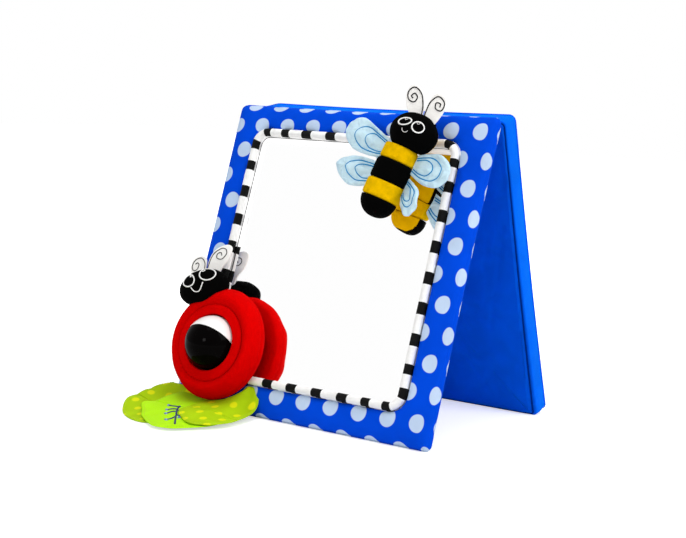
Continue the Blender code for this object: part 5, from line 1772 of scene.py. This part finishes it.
LEAN_RISE = 0.9486    # height gained per metre along the leaning front panel


def border_front(x, height):
    """Depth in Y of the lower border's front at a height above the floor."""
    up = max(0.0, (height - 0.0032) / LEAN_RISE)
    share = min(1.0, up / WINDOW[1])
    depth = mix(SHOULDER_DEPTH, INNER_DEPTH, share) - BORDER_CROWN * bulge(share, 2.4)
    return (FRONT @ Vector((x, depth, up))).y


# %% Roots of the leaves
ROOT_BOW, ROOT_DIP = 0.0045, 0.0014    # the left root bows outward and dips at its outer edge
# For each leaf: where it starts and ends along the fold and along the border.
ROOTS = {"left": ((-0.1500, -0.0800), (-0.1370, -0.0850)),
         "middle": ((-0.1272, -0.0380), (-0.1220, -0.0500)),
         "right": ((-0.0862, -0.0300), (-0.0880, -0.0355))}


def under_ring(x):
    """Height of the ring's lowest line above the floor, at a place across."""
    across = min(1.0, abs(x - BUG.translation.x) / RING_RADIUS)
    return 0.0076 + LEAN_RISE * (0.0551 + RING_RISE - RING_TALL * math.sqrt(1 - across * across))


def root_path(side, level, x0, x1):
    """Four control points of a root's curve from the fold to the border."""
    low = leaf_height(level, x0, LEAF_LINE_Y)
    below = under_ring(x1) - 0.0019
    if side == "left":
        free = smooth_step((-0.124 - x0) / 0.020)
        top = min(below - 0.0036, 0.0178)
        heights = (low, low + 0.0005 + 0.0035 * free, low + 0.0008 + 0.0057 * free, top)
        depths = (-0.0330, -0.0180, border_front(x1, top) - 0.0013)
    elif side == "middle":
        free = smooth_step((-0.104 - x0) / 0.020)
        top = min(below - 0.0024 * smooth_step((x1 + 0.094) / 0.008), low + 0.0024 + 0.0026 * free)
        heights = (low, low + 0.0004 + 0.0026 * free, mix(low, top, 0.8) + 0.0008 * free, top)
        depths = (-0.0350, -0.0260, border_front(x1, top) - 0.0036)
    else:
        free = smooth_step((x1 + 0.060) / 0.016)
        high = mix(0.0268, 0.0180, smooth_step((x1 + 0.0460) / 0.0110))
        top = min(below, high)
        heights = (low, low + 0.0003, mix(mix(low, top, 0.75), low - 0.0003, free), top)
        depths = (-0.0290, mix(-0.0200, -0.0115, free),
                  border_front(x1, top) - mix(0.0058, 0.0014, free))
    return heights, (LEAF_LINE_Y - 0.0002, *depths)


def build_root(side, level, finish, slot, replaced):
    """A leaf's root: one curve for each place across, from the fold to the border."""
    (first, last), (sewn_first, sewn_last) = ROOTS[side]
    columns, steps = 56, 30
    grid = []
    for step in range(steps + 1):
        s = step / steps
        weights = ((1 - s) ** 3, 3 * s * (1 - s) ** 2, 3 * s * s * (1 - s), s ** 3)
        row = []
        for column in range(columns + 1):
            a = column / columns
            x0, x1 = mix(first, last, a), mix(sewn_first, sewn_last, a)
            heights, depths = root_path(side, level, x0, x1)
            bow = dip = 0
            if side == "left":
                bow = ROOT_BOW * (1 - a) ** 2 * math.sin(math.pi * s)
                dip = ROOT_DIP * math.exp(-((s - 0.42) / 0.10) ** 2) * (1 - a) ** 4
            pleat = 0.0006 * wobble((x1, 0, level), 0.007, 70.0) * smooth_step(s * 1.4 - 0.3)
            row.append(Vector((mix(x0, x1, s) - bow, sum(w * d for w, d in zip(weights, depths)),
                               sum(w * h for w, h in zip(weights, heights)) + pleat - dip)))
        grid.append(row)
    add_piece("leaf_%s_root" % side, padded_sheet("root", grid, LEAF_THICK / 2), finish,
              "front_panel", slot, replaced)
    edge = 2 if side != "right" else columns - 2
    hem = [grid[step][edge] + Vector((0, 0, LEAF_THICK / 2)) for step in range(1, steps)]
    sew_stitches("leaf_%s_root_stitches" % side, [(hem, False)], HEM_PITCH, HEM_STITCH,
                 STITCH_RADIUS, lime_thread, "front_panel", slot)


for (side, level, finish, slot), replaced in zip(LEAVES, (("leaf_base",), ("leaf_seam",), ())):
    build_root(side, level, finish, slot, replaced)

# %% [markdown]
# ## Floor, light and background
#
# The photograph is a product shot on white: the light comes from everywhere, a little more from the
# right and above, and the shadow is faint. The world is white for the camera, and for reflections
# it has one slightly darker side. The floor glows more with distance, so it fades into that white.
# The lamps stay at a plain level, so colours come out as they are written.

# %% Floor and world
DARK_SIDE = (0.568, -0.813, 0.12)    # the studio's slightly darker side, which polished parts show
DARK_LEVEL = 0.80
FLOOR_NEAR, FLOOR_FAR = 0.28, 0.75   # the floor's glow grows between these distances
NEAR_GLOW = 0.52


def start_studio(owner):
    """An empty tree for a material or world, with the rays that see it straight or mirrored."""
    owner.use_nodes = True
    tree = owner.node_tree
    tree.nodes.clear()
    rays = add_node(tree, "ShaderNodeLightPath").outputs
    return tree, rays, calc(tree, "MAXIMUM", rays["Is Camera Ray"], rays["Is Glossy Ray"])


floor_mesh = bpy.data.meshes.new("floor")
floor_mesh.from_pydata([(-6, -6, 0), (6, -6, 0), (6, 6, 0), (-6, 6, 0)], [], [(0, 1, 2, 3)])
floor = bpy.data.objects.new("floor", floor_mesh)
scene.collection.objects.link(floor)
floor_paint = bpy.data.materials.new("white_floor")
tree, rays, seen = start_studio(floor_paint)
reach = add_node(tree, "ShaderNodeVectorMath", {0: object_places(tree)}, operation="LENGTH")
far = add_node(tree, "ShaderNodeMapRange", {
    "Value": reach.outputs["Value"], "From Min": FLOOR_NEAR, "From Max": FLOOR_FAR},
    interpolation_type="SMOOTHSTEP").outputs["Result"]
glow = calc(tree, "MULTIPLY_ADD", far, 1.0 - NEAR_GLOW, NEAR_GLOW)
matt = add_node(tree, "ShaderNodeBsdfDiffuse", {"Color": (0.80, 0.80, 0.80)})
lit = add_node(tree, "ShaderNodeEmission", {
    "Color": WHITE, "Strength": calc(tree, "MULTIPLY", seen, glow)})
both = add_node(tree, "ShaderNodeAddShader", {0: matt.outputs[0], 1: lit.outputs[0]})
add_node(tree, "ShaderNodeOutputMaterial", {"Surface": both.outputs[0]})
floor_mesh.materials.append(floor_paint)

world = bpy.data.worlds.new("studio")
scene.world = world
tree, rays, seen = start_studio(world)
seen = calc(tree, "MAXIMUM", seen, rays["Is Transmission Ray"])
way = add_node(tree, "ShaderNodeTexCoord").outputs["Generated"]
facing = add_node(tree, "ShaderNodeVectorMath", {0: way, 1: DARK_SIDE}, operation="DOT_PRODUCT")
dark = add_node(tree, "ShaderNodeMapRange", {
    "Value": facing.outputs["Value"], "From Min": math.cos(math.radians(34)),
    "From Max": math.cos(math.radians(20)), "To Min": 1.0, "To Max": DARK_LEVEL},
    interpolation_type="SMOOTHSTEP").outputs["Result"]
light = add_node(tree, "ShaderNodeBackground", {"Color": WHITE, "Strength": 0.50})
white = add_node(tree, "ShaderNodeBackground", {
    "Color": WHITE, "Strength": calc(tree, "MAXIMUM", dark, rays["Is Camera Ray"])})
pick = add_node(tree, "ShaderNodeMixShader", {0: seen, 1: light.outputs[0], 2: white.outputs[0]})
add_node(tree, "ShaderNodeOutputWorld", {"Surface": pick.outputs[0]})

# %% Lamps


def add_lamp(name, place, target, size, power):
    """A square softbox that looks at a target. Its size is in metres and its power in watts."""
    lamp = bpy.data.lights.new(name, "AREA")
    lamp.size = size
    lamp.energy = power
    obj = bpy.data.objects.new(name, lamp)
    scene.collection.objects.link(obj)
    way = Vector(target) - Vector(place)
    obj.matrix_world = Matrix.Translation(place) @ way.to_track_quat("-Z", "Y").to_matrix().to_4x4()


add_lamp("key_softbox", (1.7, 0.15, 1.3), (0.0, 0.05, 0.12), 1.2, 21)
add_lamp("fill_softbox", (0.05, -2.0, 0.80), (0.0, 0.0, 0.12), 0.4, 8.5)
add_lamp("top_softbox", (0.1, -0.1, 2.2), (0.0, 0.05, 0.12), 1.6, 21)
